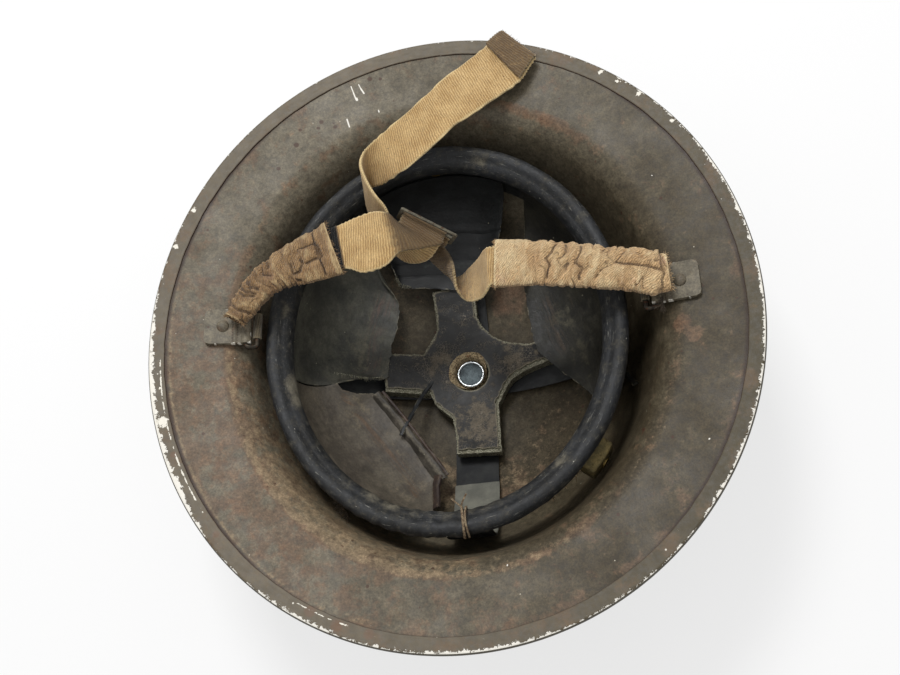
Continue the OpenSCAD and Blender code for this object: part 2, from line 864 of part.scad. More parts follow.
left_sleeve = [
    [[-102, 7, 107.8], 10.5, 9], [[-96.8, 15.6, 107.5], 14, 9], [[-91.6, 23.4, 106.8], 15.8, 9],
    [[-83.8, 29.7, 106], 18, 9], [[-76, 33.6, 105.7], 22, 8.5], [[-66, 36.7, 105.6], 25.3, 8],
    [[-53, 41, 105.8], 29.6, 7.5]];
right_sleeve = [
    [[105, 9, 108], 17, 9], [[100, 9, 107.9], 21.5, 9.5], [[92, 11.6, 107.2], 21, 10],
    [[80, 14.5, 106.3], 20.6, 9.5], [[62, 18.6, 105.7], 21.8, 9], [[44, 21.7, 105.6], 22.4, 8],
    [[26, 23.2, 105.8], 23.6, 7.5]];

sleeve_substeps = 4;
sleeve_turns = 12;
sleeve_square = 0.75;

function rounded(c) = sign(c) * pow(abs(c), sleeve_square);

// Rows of points along a sleeve, one row for each direction round it
function sleeve_rows(stations, inset, ripple) =
    let (
        middle = spline([for (s = stations) fitted(s[0])], sleeve_substeps),
        size = spline([for (s = stations) [s[1], s[2], 0]], sleeve_substeps),
        count = len(middle) - 1
    )
    [for (k = [0:sleeve_turns - 1])
        let (a = 360 * k / sleeve_turns)
        [for (i = [0:count])
            let (
                ahead = heading(middle, i),
                side = unit(cross(ahead, [0, 0, 1])),
                up = cross(side, ahead),
                lean = 70 * sin(2 * a + 200 * i / count),
                fold = ripple * (0.3 + 0.7 * sin(360 * gathers * i / count + lean)),
                half = [size[i].x / 2 - inset + fold, size[i].y / 2 - inset + fold]
            )
            middle[i] + side * half.x * rounded(cos(a)) + up * half.y * rounded(sin(a))]];

module sleeve(stations) {
    outer = sleeve_rows(stations, 0, gather_depth);
    inner = sleeve_rows(stations, sleeve_sheet, 0);
    color("#b99c78")
    ring_skin([for (k = [sleeve_turns - 1:-1:0])
        concat(outer[k], [for (i = [len(inner[k]) - 1:-1:0]) inner[k][i]])]);
}

module sleeve_left() {
    sleeve(left_sleeve);
}

module sleeve_right() {
    sleeve(right_sleeve);
}

spring_turns = 6;

// Two springs side by side in a sleeve, as plain tubes over their length
module springs(stations) {
    path = spline([for (k = [0:len(stations) - 2]) fitted(stations[k][0])], 3);
    size = spline([for (k = [0:len(stations) - 2]) [stations[k][1], 0]], 3);
    color("#6f6a60")
    for (hand = [-1, 1])
        tube([for (i = [0:len(path) - 1])
            let (side = unit(cross(heading(path, i), [0, 0, 1])))
            path[i] + side * hand * spring_offset(size[i].x)], spring_d);
}

// Distance of each spring from the sleeve's middle line, in a sleeve of width w
function spring_offset(w) = min(5.5, w / 2 - sleeve_sheet - spring_d / 2 - 0.5);

// Round solid along a path
module tube(path, d) {
    rings = [for (i = [0:len(path) - 1])
        let (
            ahead = heading(path, i),
            side = unit(cross(ahead, [0, 0, 1])),
            up = cross(side, ahead)
        )
        [for (k = [0:spring_turns - 1])
            let (a = 360 * (k + 0.5) / spring_turns)
            path[i] + d / 2 * (side * cos(a) + up * sin(a))]];
    strip_skin(rings);
}

module springs_left() {
    springs(left_sleeve);
}

module springs_right() {
    springs(right_sleeve);
}

// Buckle: a sheet with two windows, seen on edge
// Its own axes: X along the bars, Y down across them, Z through the windows

buckle_at = fitted([-4.6, 49, 107]);
buckle_x = unit([0.823, -0.403, -0.4]);
buckle_y = unit([-0.413, 0.214, -0.886] - ([-0.413, 0.214, -0.886] * buckle_x) * buckle_x);
buckle_z = cross(buckle_x, buckle_y);
window_near = 4.2;
window_far = 5.8;
window_length = buckle_length - 2 * buckle_bar;
middle_bar_y = buckle_bar + window_near;
end_bar_y = middle_bar_y + buckle_bar + window_far;
buckle_height = end_bar_y + buckle_bar;

// Point in the buckle's own axes
function on_buckle(x, y, z) = buckle_at + x * buckle_x + y * buckle_y + z * buckle_z;

module buckle() {
    color("#4a4238")
    multmatrix([[buckle_x.x, buckle_y.x, buckle_z.x, buckle_at.x],
        [buckle_x.y, buckle_y.y, buckle_z.y, buckle_at.y],
        [buckle_x.z, buckle_y.z, buckle_z.z, buckle_at.z],
        [0, 0, 0, 1]])
        difference() {
            translate([-buckle_length / 2, 0, -buckle_sheet / 2])
                cube([buckle_length, buckle_height, buckle_sheet]);
            translate([-window_length / 2, buckle_bar, -buckle_sheet])
                cube([window_length, window_near, 2 * buckle_sheet]);
            translate([-window_length / 2, middle_bar_y + buckle_bar, -buckle_sheet])
                cube([window_length, window_far, 2 * buckle_sheet]);
        }
}

// Webbing: each station is a pair of edge points, [back edge, front edge]

// Distance of the webbing's middle from a bar that it passes or goes round
wrap = webbing_sheet / 2 + 2 * seat_gap;
near_y = middle_bar_y - wrap;
far_y = middle_bar_y + buckle_bar + wrap;
bend = 1.4;
bend_z = buckle_sheet / 2 + wrap - bend;

// Distances of each piece's edges from the buckle's two ends
long_inset = [2, 5.3];
short_inset = [5.8, 2.1];
// Pair of edge points in the buckle, at height y and distance z through the windows
function buckle_pair(inset, y, z) =
    [on_buckle(inset[0] - buckle_length / 2, y, z), on_buckle(buckle_length / 2 - inset[1], y, z)];
function long_at(y, z) = buckle_pair(long_inset, y, z);
function short_at(y, z) = buckle_pair(short_inset, y, z);

// Points of a bend from the window at height y, turning towards height y + way * bend
function bend_stations(y, way, angles) =
    [for (a = angles) long_at(y + way * bend * (1 - cos(a)), bend_z + bend * sin(a))];

// Long piece: out of the left sleeve, round the buckle's middle bar and back over the rim to its folded end
long_stations = concat(
    fitted_pairs([[[-60, 51, 105.6], [-54.5, 28.5, 105.6]],
    [[-50, 53.4, 106], [-46, 29, 106]],
    [[-41, 56, 107], [-38, 26, 106]],
    [[-32, 57, 108.8], [-27.5, 28.5, 105.5]],
    [[-25.5, 55, 110.2], [-20, 35.5, 104.8]],
    [[-22.8, 53, 109.6], [-10.5, 38.3, 100.3]]]),
    [long_at(near_y, -6), long_at(near_y, -3), long_at(near_y, -1)],
    bend_stations(near_y, 1, [0, 45, 90]),
    bend_stations(far_y, -1, [90, 45, 0]),
    [long_at(far_y, -1), long_at(far_y, -3), long_at(far_y, -5.5)],
    fitted_pairs([[[-24, 50.2, 101.8], [-10, 38.5, 86]],
    [[-25.3, 53, 100.5], [-21, 41, 80.5]],
    [[-26, 57.5, 101.8], [-28.5, 47.5, 81]],
    [[-27.5, 61.8, 105], [-32, 53.5, 83.5]],
    [[-31.3, 66.5, 108.5], [-35.5, 60.5, 86]],
    [[-35.5, 74.5, 111.3], [-39, 68, 88.5]],
    [[-37.5, 82.5, 113], [-40, 75.5, 91]],
    [[-36, 89, 113], [-37.5, 79.5, 93]],
    [[-31.5, 94.5, 112.5], [-29, 78.5, 98]],
    [[-23, 102, 111.7], [-17.5, 80, 105.5]],
    [[-13, 110.5, 111.2], [-4, 87, 109.3]],
    [[-4, 118.5, 110.9], [8, 97.5, 110.3]],
    [[6, 127.5, 110.8], [20, 105, 110.6]],
    [[20, 137.5, 110.8], [34, 113, 110.8]],
    [[29, 144, 110.8], [45, 120.5, 110.8]],
    [[34, 148.2, 110.9], [50, 127.5, 110.9]],
    [[36.8, 150.2, 111.2], [53, 131.5, 111.2]],
    [[37.5, 150.8, 112.2], [53.6, 132.4, 112.2]],
    [[36.8, 150.2, 113.2], [53, 131.5, 113.2]],
    [[34, 148.2, 113.5], [50, 127.5, 113.5]],
    [[29, 144, 113.5], [45, 120.5, 113.5]]]));

// Distance of the sewn eye's two layers from the buckle's plane
eye_z = buckle_sheet / 2 + wrap;
eye_top = end_bar_y + 0.3;

// Short piece: round the buckle's end bar, down in a slack curve and into the right sleeve
short_stations = concat(
    [short_at(eye_top + 8.2, 0.95), short_at(eye_top + 5.5, 1.25), short_at(eye_top + 3, eye_z),
    short_at(eye_top + 1.3, eye_z)],
    [for (a = [90:-45:-90]) short_at(eye_top - eye_z * cos(a), eye_z * sin(a))],
    [short_at(eye_top + 1.3, -eye_z), short_at(eye_top + 3, -eye_z), short_at(eye_top + 5.5, -1.15),
    short_at(eye_top + 8.2, -0.9)],
    fitted_pairs([[[-20, 54, 83.5], [0, 44, 81]],
    [[-14.5, 49, 74.8], [2.2, 38.5, 84]],
    [[-6.8, 41, 71.2], [3.9, 30.5, 90]],
    [[-2, 36.3, 70], [4.4, 23.5, 90]],
    [[0.8, 34.5, 70.2], [5, 19.3, 88.6]],
    [[5.5, 34, 73], [8, 14.5, 86.8]],
    [[11, 35, 80], [12, 12.5, 88.3]],
    [[16.5, 34.5, 90], [17.5, 11.5, 94]],
    [[20.5, 34, 99.5], [21, 12, 100.5]],
    [[24, 33, 104.6], [24.2, 13.4, 104.8]],
    [[33, 30.8, 105.7], [33, 13.6, 105.7]]]));

module webbing_long() {
    color("#bb9b6a") strip_skin(ribbon_rings(long_stations, webbing_sheet, 3));
}

module webbing_short() {
    color("#bb9b6a") strip_skin(ribbon_rings(short_stations, webbing_sheet, 3));
}

shell();
rim_band();
lug_left();
lug_right();
lug_rivets();
wire_loop_left();
wire_loop_right();
strap_tab_left();
strap_tab_right();
crown_screw();
crown_washer();
crown_nut();
frame_strap_long();
frame_strap_cross();
crown_pad();
crown_pad_cover();
headband();
headband_lining();
headband_roll();
frame_rivets();
tongue_back();
tongue_left();
tongue_front_left();
tongue_right();
buffers();
buffer_rivets();
tie_thread();
sleeve_left();
sleeve_right();
springs_left();
springs_right();
webbing_long();
webbing_short();
buckle();
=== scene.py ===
import json
import math

import bmesh
import bpy
import numpy as np
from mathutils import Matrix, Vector, geometry, noise

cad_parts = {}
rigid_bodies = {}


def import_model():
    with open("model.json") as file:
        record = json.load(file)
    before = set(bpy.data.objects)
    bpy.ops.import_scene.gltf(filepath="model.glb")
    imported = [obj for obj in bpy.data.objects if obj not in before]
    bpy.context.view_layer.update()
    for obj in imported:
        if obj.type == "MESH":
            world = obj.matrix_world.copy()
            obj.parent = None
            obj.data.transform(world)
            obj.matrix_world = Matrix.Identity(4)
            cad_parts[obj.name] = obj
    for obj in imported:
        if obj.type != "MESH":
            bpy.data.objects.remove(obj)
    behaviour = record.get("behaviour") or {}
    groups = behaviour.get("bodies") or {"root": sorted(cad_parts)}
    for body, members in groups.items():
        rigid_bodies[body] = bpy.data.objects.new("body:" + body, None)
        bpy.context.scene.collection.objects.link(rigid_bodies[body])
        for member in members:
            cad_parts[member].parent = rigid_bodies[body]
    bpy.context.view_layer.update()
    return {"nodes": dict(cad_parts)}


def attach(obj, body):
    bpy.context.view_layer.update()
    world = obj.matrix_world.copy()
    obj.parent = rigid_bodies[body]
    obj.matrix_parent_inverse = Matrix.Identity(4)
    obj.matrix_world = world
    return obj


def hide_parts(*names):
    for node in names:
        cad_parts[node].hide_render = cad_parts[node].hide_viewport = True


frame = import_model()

# Looks of a wide-brimmed steel helmet lying crown down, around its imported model. Lengths are in
# millimetres until add_piece turns them into metres. +X points to the right lug, +Y to the back of
# the helmet and +Z up out of the bowl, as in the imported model.

MM = 0.001

# Sizes of the pieces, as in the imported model

RIM_LENGTH, RIM_WIDTH, RIM_HEIGHT = 303.0, 289.0, 107.3
BOWL_LENGTH, BOWL_WIDTH = 224.5, 202.5
SHELL_WALL = 1.1
BRIM_SLOPE, WALL_ANGLE, CROWN_ANGLE = 13.0, 76.0, 30.0
FLARE_RADIUS, SHOULDER_RADIUS = 15.0, 65.0
SCREW_HEAD_H, SCREW_D = 2.0, 5.0
BAND_LEG, BAND_WALL = 6.5, 0.6
SEAT_GAP = 0.15
LUG_X, LUG_Y, LUG_WIDTH, LUG_SHEET, LUG_TAIL, LUG_REACH = 111.03, 6.5, 18.0, 1.2, 9.0, 11.4
WIRE_D, WIRE_REACH, WIRE_DROOP, TAB_WIDTH = 2.6, 5.4, 16.0, 13.0
LINING_HALF = np.array([82.2, 94.0])
LINING_SHEET, HEADBAND_SHEET = 0.9, 1.5
HEADBAND_LOW, HEADBAND_TOP = 60.0, 80.6
ROLL_HEIGHT = 11.2
LINER_MID = np.array([-3.5, 0.5, 0.0])
FRAME_WIDTH, FRAME_SHEET, FRAME_CURL = 23.0, 1.4, 1.68
FRAME_TURNS = (0.0, 91.5, 180.0, 271.5)
LONG_LOW, CROSS_LOW, PAD_LOW = 4.4, 6.1, 7.8
FRAME_FLAT, FRAME_BEND_Z = 9.0, 59.2
PAD_FELT, PAD_COVER, PAD_LIFT, PAD_REACH = 8.0, 0.9, 0.4, 47.0
PAD_HOLE_R, COVER_HOLE_R = 10.1, 10.8
NUT_D, NUT_H, NUT_LOW = 15.6, 5.6, 9.15
BUFFER_AZIMUTHS = (136.0, 319.5)
BUFFER_DEPTH, BUFFER_WIDTH, BUFFER_HEIGHT, BUFFER_GAP = 12.0, 17.0, 16.0, 1.8
WEBBING_SHEET, SLEEVE_SHEET, SPRING_D = 1.6, 1.0, 3.6
SPRING_PITCH, SPRING_WIRE_R = 1.15, 0.28
TIE_TURN = 274.0
# Softened edges of the sheet pieces
BEVEL_WIDTH, BEVEL_ANGLE = 0.25, 50
# Side of the helmet, and its name in the pieces
HANDS = ((-1, "left"), (1, "right"))
BUCKLE_LENGTH, BUCKLE_SHEET, BUCKLE_BAR = 30.6, 1.2, 1.8


# Vectors and curves

def unit(v):
    return v / np.linalg.norm(v, axis=-1, keepdims=True)


def sind(a):
    return np.sin(np.radians(a))


def cosd(a):
    return np.cos(np.radians(a))


def smooth_step(x, low, high):
    t = np.clip((x - low) / (high - low), 0, 1)
    return t * t * (3 - 2 * t)


def spline(points, steps):
    """Smooth curve through the points, with that many steps between each two."""
    p = np.asarray(points, float)
    last = len(p) - 1
    t = np.arange(steps)[:, None] / steps
    made = []
    for i in range(last):
        a, b, c, d = p[max(i - 1, 0)], p[i], p[i + 1], p[min(i + 2, last)]
        made.append(0.5 * (2 * b + (c - a) * t + (2 * a - 5 * b + 4 * c - d) * t ** 2
                           + (3 * b - a - 3 * c + d) * t ** 3))
    return np.vstack(made + [p[-1:]])


def headings(path, closed=False):
    """Direction of travel at each point of a curve."""
    if closed:
        return unit(np.roll(path, -1, 0) - np.roll(path, 1, 0))
    ahead = np.vstack([path[1:], path[-1:]])
    behind = np.vstack([path[:1], path[:-1]])
    return unit(ahead - behind)


def lengths_along(path):
    steps = np.linalg.norm(np.diff(path, axis=0), axis=1)
    return np.concatenate([[0], np.cumsum(steps)])


def oval_radius(half_x, half_y, turn):
    """Distance from the middle to an ellipse in the direction turn, in degrees."""
    return half_x * half_y / np.sqrt((half_y * cosd(turn)) ** 2 + (half_x * sind(turn)) ** 2)


def raised(flat):
    """Flat points as points in space at height 0."""
    return np.column_stack([flat, 0 * flat[:, 0]])


def lumps(points, size, seed=0):
    """Smooth noise from -1 to 1 at each point, with lumps of about that size."""
    shift = Vector((17.3, 5.1, 9.7)) * seed
    flat = np.reshape(points, (-1, 3)) / np.asarray(size, float)
    values = [noise.noise(Vector(p) + shift) for p in flat]
    return np.reshape(values, np.shape(points)[:-1])


def spots(points, table, soft=0.5):
    """1 inside the listed spheres, [centre, radius], and fading out over the share soft of the radius."""
    flat = np.reshape(points, (-1, 3))
    made = np.zeros(len(flat))
    for centre, radius in table:
        away = np.linalg.norm(flat - np.asarray(centre, float), axis=1)
        made = np.maximum(made, smooth_step(away, radius * (1 + soft), radius * (1 - soft)))
    return made.reshape(np.shape(points)[:-1])


# Meshes

def grid_faces(rows, columns, wrap_rows=False, wrap_columns=False):
    index = np.arange(rows * columns).reshape(rows, columns)
    if wrap_rows:
        index = np.vstack([index, index[:1]])
    if wrap_columns:
        index = np.hstack([index, index[:, :1]])
    quads = np.stack([index[:-1, :-1], index[:-1, 1:], index[1:, 1:], index[1:, :-1]], -1)
    return quads.reshape(-1, 4).tolist()


def strip_faces(rings, count):
    """Faces of a solid strip whose ring point k lies over point count - 1 - k."""
    faces = grid_faces(rings, count, wrap_columns=True)
    for base in (0, (rings - 1) * count):
        faces += [[base + k, base + k + 1, base + count - 2 - k, base + count - 1 - k]
                  for k in range(count // 2 - 1)]
    return faces


def add_piece(name, verts, faces, materials, slot, body="helmet", stands_for=(), marks=None, sharp=38.0,
              face_materials=None, weld=False):
    """Adds a mesh piece. marks are named numbers, one for each vertex, which the materials read."""
    mesh = bpy.data.meshes.new(name)
    mesh.from_pydata((np.reshape(verts, (-1, 3)) * MM).tolist(), [], faces)
    for key, values in (marks or {}).items():
        layer = mesh.attributes.new(key, "FLOAT", "POINT")
        layer.data.foreach_set("value", np.ravel(values).astype(np.float32))
    for material in materials if isinstance(materials, list) else [materials]:
        mesh.materials.append(material)
    if face_materials is not None:
        mesh.polygons.foreach_set("material_index", face_materials)
    tidy = bmesh.new()
    tidy.from_mesh(mesh)
    if weld:
        bmesh.ops.remove_doubles(tidy, verts=tidy.verts, dist=1e-7)
    bmesh.ops.recalc_face_normals(tidy, faces=tidy.faces)
    tidy.to_mesh(mesh)
    tidy.free()
    mesh.shade_smooth()
    mesh.set_sharp_from_angle(angle=math.radians(sharp))
    piece = bpy.data.objects.new(name, mesh)
    bpy.context.scene.collection.objects.link(piece)
    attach(piece, body)
    if stands_for:
        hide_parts(*stands_for)
    return piece


def soften_edges(piece):
    bevel = piece.modifiers.new("edges", "BEVEL")
    bevel.width, bevel.segments, bevel.angle_limit = BEVEL_WIDTH * MM, 2, math.radians(BEVEL_ANGLE)


def inside(points, outline):
    """Which of the flat points lie inside the closed outline."""
    x, y = points[:, :1], points[:, 1:2]
    x0, y0 = outline.T
    x1, y1 = np.roll(outline, -1, 0).T
    rise = np.where(y1 == y0, 1e-12, y1 - y0)
    crossed = ((y0 > y) != (y1 > y)) & (x < (x1 - x0) * (y - y0) / rise + x0)
    return crossed.sum(1) % 2 == 1


def filled(outline, spacing, holes=()):
    """Triangles that fill a closed flat outline, less its holes: points, faces, distance to the edge."""
    loops = [np.asarray(loop, float) for loop in (outline, *holes)]
    border = np.vstack(loops)
    edges = []
    for loop in loops:
        start = len(edges)
        edges += [(start + i, start + (i + 1) % len(loop)) for i in range(len(loop))]
    low, high = loops[0].min(0), loops[0].max(0)
    columns = np.arange(low[0], high[0], spacing)
    rows = np.arange(low[1], high[1], spacing * 0.87)
    grid = np.array([(x + spacing / 2 * (j % 2), y) for j, y in enumerate(rows) for x in columns])
    gap = np.linalg.norm(grid[:, None] - border[None], axis=2).min(1)
    kept = inside(grid, loops[0]) & (gap > 0.55 * spacing)
    for hole in loops[1:]:
        kept &= ~inside(grid, hole)
    points = np.vstack([border, grid[kept]])
    found = geometry.delaunay_2d_cdt([Vector(p) for p in points], edges, [], 0, 1e-6, True)
    points = np.array([tuple(p) for p in found[0]])
    faces = np.array(found[2])
    middles = points[faces].mean(1)
    wanted = inside(middles, loops[0])
    for hole in loops[1:]:
        wanted &= ~inside(middles, hole)
    distance = np.linalg.norm(points[:, None] - border[None], axis=2).min(1)
    return points, faces[wanted], distance


def slab_of(outline, top, bottom, spacing, holes=()):
    """Solid between two surfaces over a flat outline. top and bottom turn flat points into points in space."""
    flat, faces, distance = filled(outline, spacing, holes)
    used = np.unique(faces)
    order = np.full(len(flat), -1)
    order[used] = np.arange(len(used))
    flat, faces, distance = flat[used], order[faces], distance[used]
    count = len(flat)
    verts = np.vstack([top(flat), bottom(flat)])
    directed = {(a, b) for f in faces for a, b in ((f[0], f[1]), (f[1], f[2]), (f[2], f[0]))}
    walls = [[b, a, a + count, b + count] for a, b in directed if (b, a) not in directed]
    made = faces.tolist() + (faces[:, ::-1] + count).tolist() + walls
    return verts, made, np.vstack([flat, flat]), np.concatenate([distance, distance])


def dense(points, step):
    """The closed outline with points no further apart than step."""
    made = []
    p = np.asarray(points, float)
    for a, b in zip(p, np.roll(p, -1, 0)):
        count = max(1, int(np.linalg.norm(b - a) / step))
        made += [a + (b - a) * i / count for i in range(count)]
    return np.array(made)


def ragged(outline, step, depth, size=2.5, seed=0):
    """The outline with a torn edge: moved in and out by noise of two sizes."""
    p = dense(outline, step)
    flat = np.column_stack([p, np.zeros(len(p))])
    out = unit(np.roll(p, -1, 0) - np.roll(p, 1, 0))[:, ::-1] * [1, -1]
    shift = depth * (lumps(flat, size, seed) + 0.5 * lumps(flat, size / 3, seed + 1))
    return p + out * shift[:, None]


def lathe(profile, origin, axes, turns=48):
    """Points and faces of a turned solid: profile is [radius, height], and axes are its X, Y and Z."""
    a = np.linspace(0, 360, turns, endpoint=False)
    p = np.asarray(profile, float)
    x, y, z = axes
    ring = cosd(a)[:, None] * x + sind(a)[:, None] * y
    verts = origin + p[:, 0, None, None] * ring[None] + p[:, 1, None, None] * z
    return verts.reshape(-1, 3), grid_faces(len(p), turns, wrap_columns=True)


def tube_rings(path, radius, sides=8, closed=False):
    """Rings of points round a path."""
    ahead = headings(path, closed)
    side = np.zeros_like(path)
    guess = np.cross(ahead[0], [0.3, 0.2, 1.0])
    for i, d in enumerate(ahead):
        guess = guess - d * guess.dot(d)
        guess /= np.linalg.norm(guess)
        side[i] = guess
    up = np.cross(ahead, side)
    a = np.linspace(0, 360, sides, endpoint=False)
    reach = np.broadcast_to(radius, (len(path),))[:, None, None]
    ring = side[:, None] * cosd(a)[None, :, None] + up[:, None] * sind(a)[None, :, None]
    return path[:, None] + reach * ring


def tube_parts(path, radius, sides=8, closed=False):
    rings = tube_rings(path, radius, sides, closed)
    faces = grid_faces(len(rings), sides, wrap_rows=closed, wrap_columns=True)
    if not closed:
        last = (len(rings) - 1) * sides
        faces += [list(range(sides)), list(range(last, last + sides))]
    return rings.reshape(-1, 3), faces


def joined(parts):
    """Several [verts, faces] as one."""
    verts, faces, start = [], [], 0
    for v, f in parts:
        verts.append(v)
        faces += [[i + start for i in face] for face in f]
        start += len(v)
    return np.vstack(verts), faces


# Materials

def colour(text):
    """Linear colour of #rrggbb."""
    parts = [int(text[i:i + 2], 16) / 255 for i in (1, 3, 5)]
    return [x / 12.92 if x <= 0.04045 else ((x + 0.055) / 1.055) ** 2.4 for x in parts] + [1.0]


class Finish:
    """A material, with short calls for the nodes that the finishes here share."""

    def __init__(self, name, metallic=0.0, specular=0.5):
        self.material = bpy.data.materials.new(name)
        self.material.use_nodes = True
        self.nodes = self.material.node_tree.nodes
        self.links = self.material.node_tree.links
        self.shader = self.nodes["Principled BSDF"]
        self.shader.inputs["Metallic"].default_value = metallic
        self.shader.inputs["Specular IOR Level"].default_value = specular
        self.place = self.nodes.new("ShaderNodeTexCoord").outputs["Object"]

    def put(self, node, socket, value):
        target = node.inputs[socket]
        if isinstance(value, bpy.types.NodeSocket):
            self.links.new(value, target)
        else:
            target.default_value = value

    def noise(self, size, detail=3.0, rough=0.55, where=None, warp=0.0):
        """Noise from 0 to 1, with features of about size mm."""
        node = self.nodes.new("ShaderNodeTexNoise")
        node.inputs["Scale"].default_value = 1 / (size * MM)
        node.inputs["Detail"].default_value = detail
        node.inputs["Roughness"].default_value = rough
        node.inputs["Distortion"].default_value = warp
        self.links.new(where or self.place, node.inputs["Vector"])
        return node.outputs["Fac"]

    def cells(self, size, feature="F1", where=None):
        node = self.nodes.new("ShaderNodeTexVoronoi")
        node.feature = feature
        node.inputs["Scale"].default_value = 1 / (size * MM)
        self.links.new(where or self.place, node.inputs["Vector"])
        return node

    def dots(self, spacing, radius, share, where=None):
        """Round dots of that radius, as a share of their spacing, in a share of the cells."""
        node = self.cells(spacing, where=where)
        chosen = self.math("GREATER_THAN", self.split(node.outputs["Color"], 0), 1 - share)
        return self.times(self.span(node.outputs["Distance"], radius * 0.7, radius, 1, 0), chosen)

    def split(self, vector, axis):
        node = self.nodes.new("ShaderNodeSeparateXYZ")
        self.links.new(vector, node.inputs[0])
        return node.outputs[axis]

    def mark(self, name):
        node = self.nodes.new("ShaderNodeAttribute")
        node.attribute_name = name
        return node.outputs["Fac"]

    def marks(self, names, stretch=(1, 1)):
        """Place on a piece from two of its marks in mm; stretch makes what is drawn there longer."""
        node = self.nodes.new("ShaderNodeCombineXYZ")
        for socket, (name, share) in enumerate(zip(names, stretch)):
            self.links.new(self.times(self.mark(name), MM / share), node.inputs[socket])
        return node.outputs[0]

    def math(self, operation, a, b=0.0):
        node = self.nodes.new("ShaderNodeMath")
        node.operation = operation
        self.put(node, 0, a)
        self.put(node, 1, b)
        return node.outputs[0]

    def add(self, a, b):
        return self.math("ADD", a, b)

    def times(self, a, b):
        return self.math("MULTIPLY", a, b)

    def wave(self, x, pitch):
        """A sine of a mark in mm, from 0 to 1."""
        turns = self.times(x, 2 * math.pi / pitch)
        return self.add(self.times(self.math("SINE", turns), 0.5), 0.5)

    def span(self, value, low, high, out_low=0.0, out_high=1.0):
        """value between low and high, turned smoothly into out_low to out_high."""
        node = self.nodes.new("ShaderNodeMapRange")
        node.interpolation_type = "SMOOTHSTEP"
        for socket, x in ((0, value), (1, low), (2, high), (3, out_low), (4, out_high)):
            self.put(node, socket, x)
        return node.outputs[0]

    def mix(self, share, a, b):
        node = self.nodes.new("ShaderNodeMix")
        node.data_type = "RGBA"
        self.put(node, 0, share)
        self.put(node, 6, colour(a) if isinstance(a, str) else a)
        self.put(node, 7, colour(b) if isinstance(b, str) else b)
        return node.outputs[2]

    def vary(self, base, value, amount):
        """base made darker and lighter by up to that share, by a noise from 0 to 1."""
        node = self.nodes.new("ShaderNodeHueSaturation")
        self.put(node, "Value", self.span(value, 0.28, 0.72, 1 - amount, 1 + amount))
        self.put(node, "Color", base)
        return node.outputs[0]

    def vector(self, operation, a, b):
        node = self.nodes.new("ShaderNodeVectorMath")
        node.operation = operation
        self.put(node, 0, a)
        self.put(node, 1, b)
        return node

    def near_line(self, start, end, width):
        """1 along a scratch of that width between two points in the plan, in mm."""
        a, b = Vector((*start, 0)) * MM, Vector((*end, 0)) * MM
        along = b - a
        level = self.vector("MULTIPLY", self.place, (1, 1, 0)).outputs[0]
        off = self.vector("SUBTRACT", level, a).outputs[0]
        share = self.nodes.new("ShaderNodeClamp")
        dot = self.vector("DOT_PRODUCT", off, along / along.length_squared)
        self.links.new(dot.outputs["Value"], share.inputs[0])
        back = self.nodes.new("ShaderNodeVectorMath")
        back.operation = "SCALE"
        back.inputs[0].default_value = along
        self.links.new(share.outputs[0], back.inputs["Scale"])
        gap = self.vector("DISTANCE", off, back.outputs[0])
        return self.span(gap.outputs["Value"], 0.35 * width * MM, 0.6 * width * MM, 1, 0)

    def bump(self, height, depth, before=None):
        """Bump of depth mm."""
        node = self.nodes.new("ShaderNodeBump")
        node.inputs["Distance"].default_value = depth * MM
        self.put(node, "Height", height)
        if before is not None:
            self.links.new(before, node.inputs["Normal"])
        return node.outputs["Normal"]

    def done(self, base, roughness, normal=None):
        self.put(self.shader, "Base Color", base)
        self.put(self.shader, "Roughness", roughness)
        if normal is not None:
            self.links.new(normal, self.shader.inputs["Normal"])
        return self.material


# White scratches and specks on the brim, in the plan: [start, end, width]
SCRATCHES = [((-44.0, 134.2), (-42.9, 130.6), 0.55), ((-42.9, 130.6), (-41.8, 127.0), 0.7),
             ((-41.5, 127.4), (-41.3, 126.8), 1.3), ((-39.9, 134.8), (-38.8, 132.4), 0.5),
             ((-38.8, 132.4), (-37.4, 129.9), 0.8), ((-47.1, 116.6), (-46.1, 112.5), 0.75),
             ((-30.3, 120.0), (-30.1, 119.2), 0.7), ((113.1, -69.5), (113.3, -69.3), 0.65),
             ((119.2, -77.8), (119.4, -77.6), 0.6), ((22.5, -116.6), (22.6, -116.3), 0.6),
             ((104.0, 62.6), (104.1, 62.5), 0.5)]
# Rust pits on the brim: [place in the plan, radius]
PITS = [((-33.9, 137.3), 1.2), ((-28.4, 136.8), 0.8), ((-53.7, 113.0), 1.0), ((-60.8, 116.2), 1.1),
        ((-74.4, 104.5), 1.3), ((-72.0, 112.5), 0.8), ((-62.6, 113.0), 0.8), ((-84.0, 92.0), 1.0)]


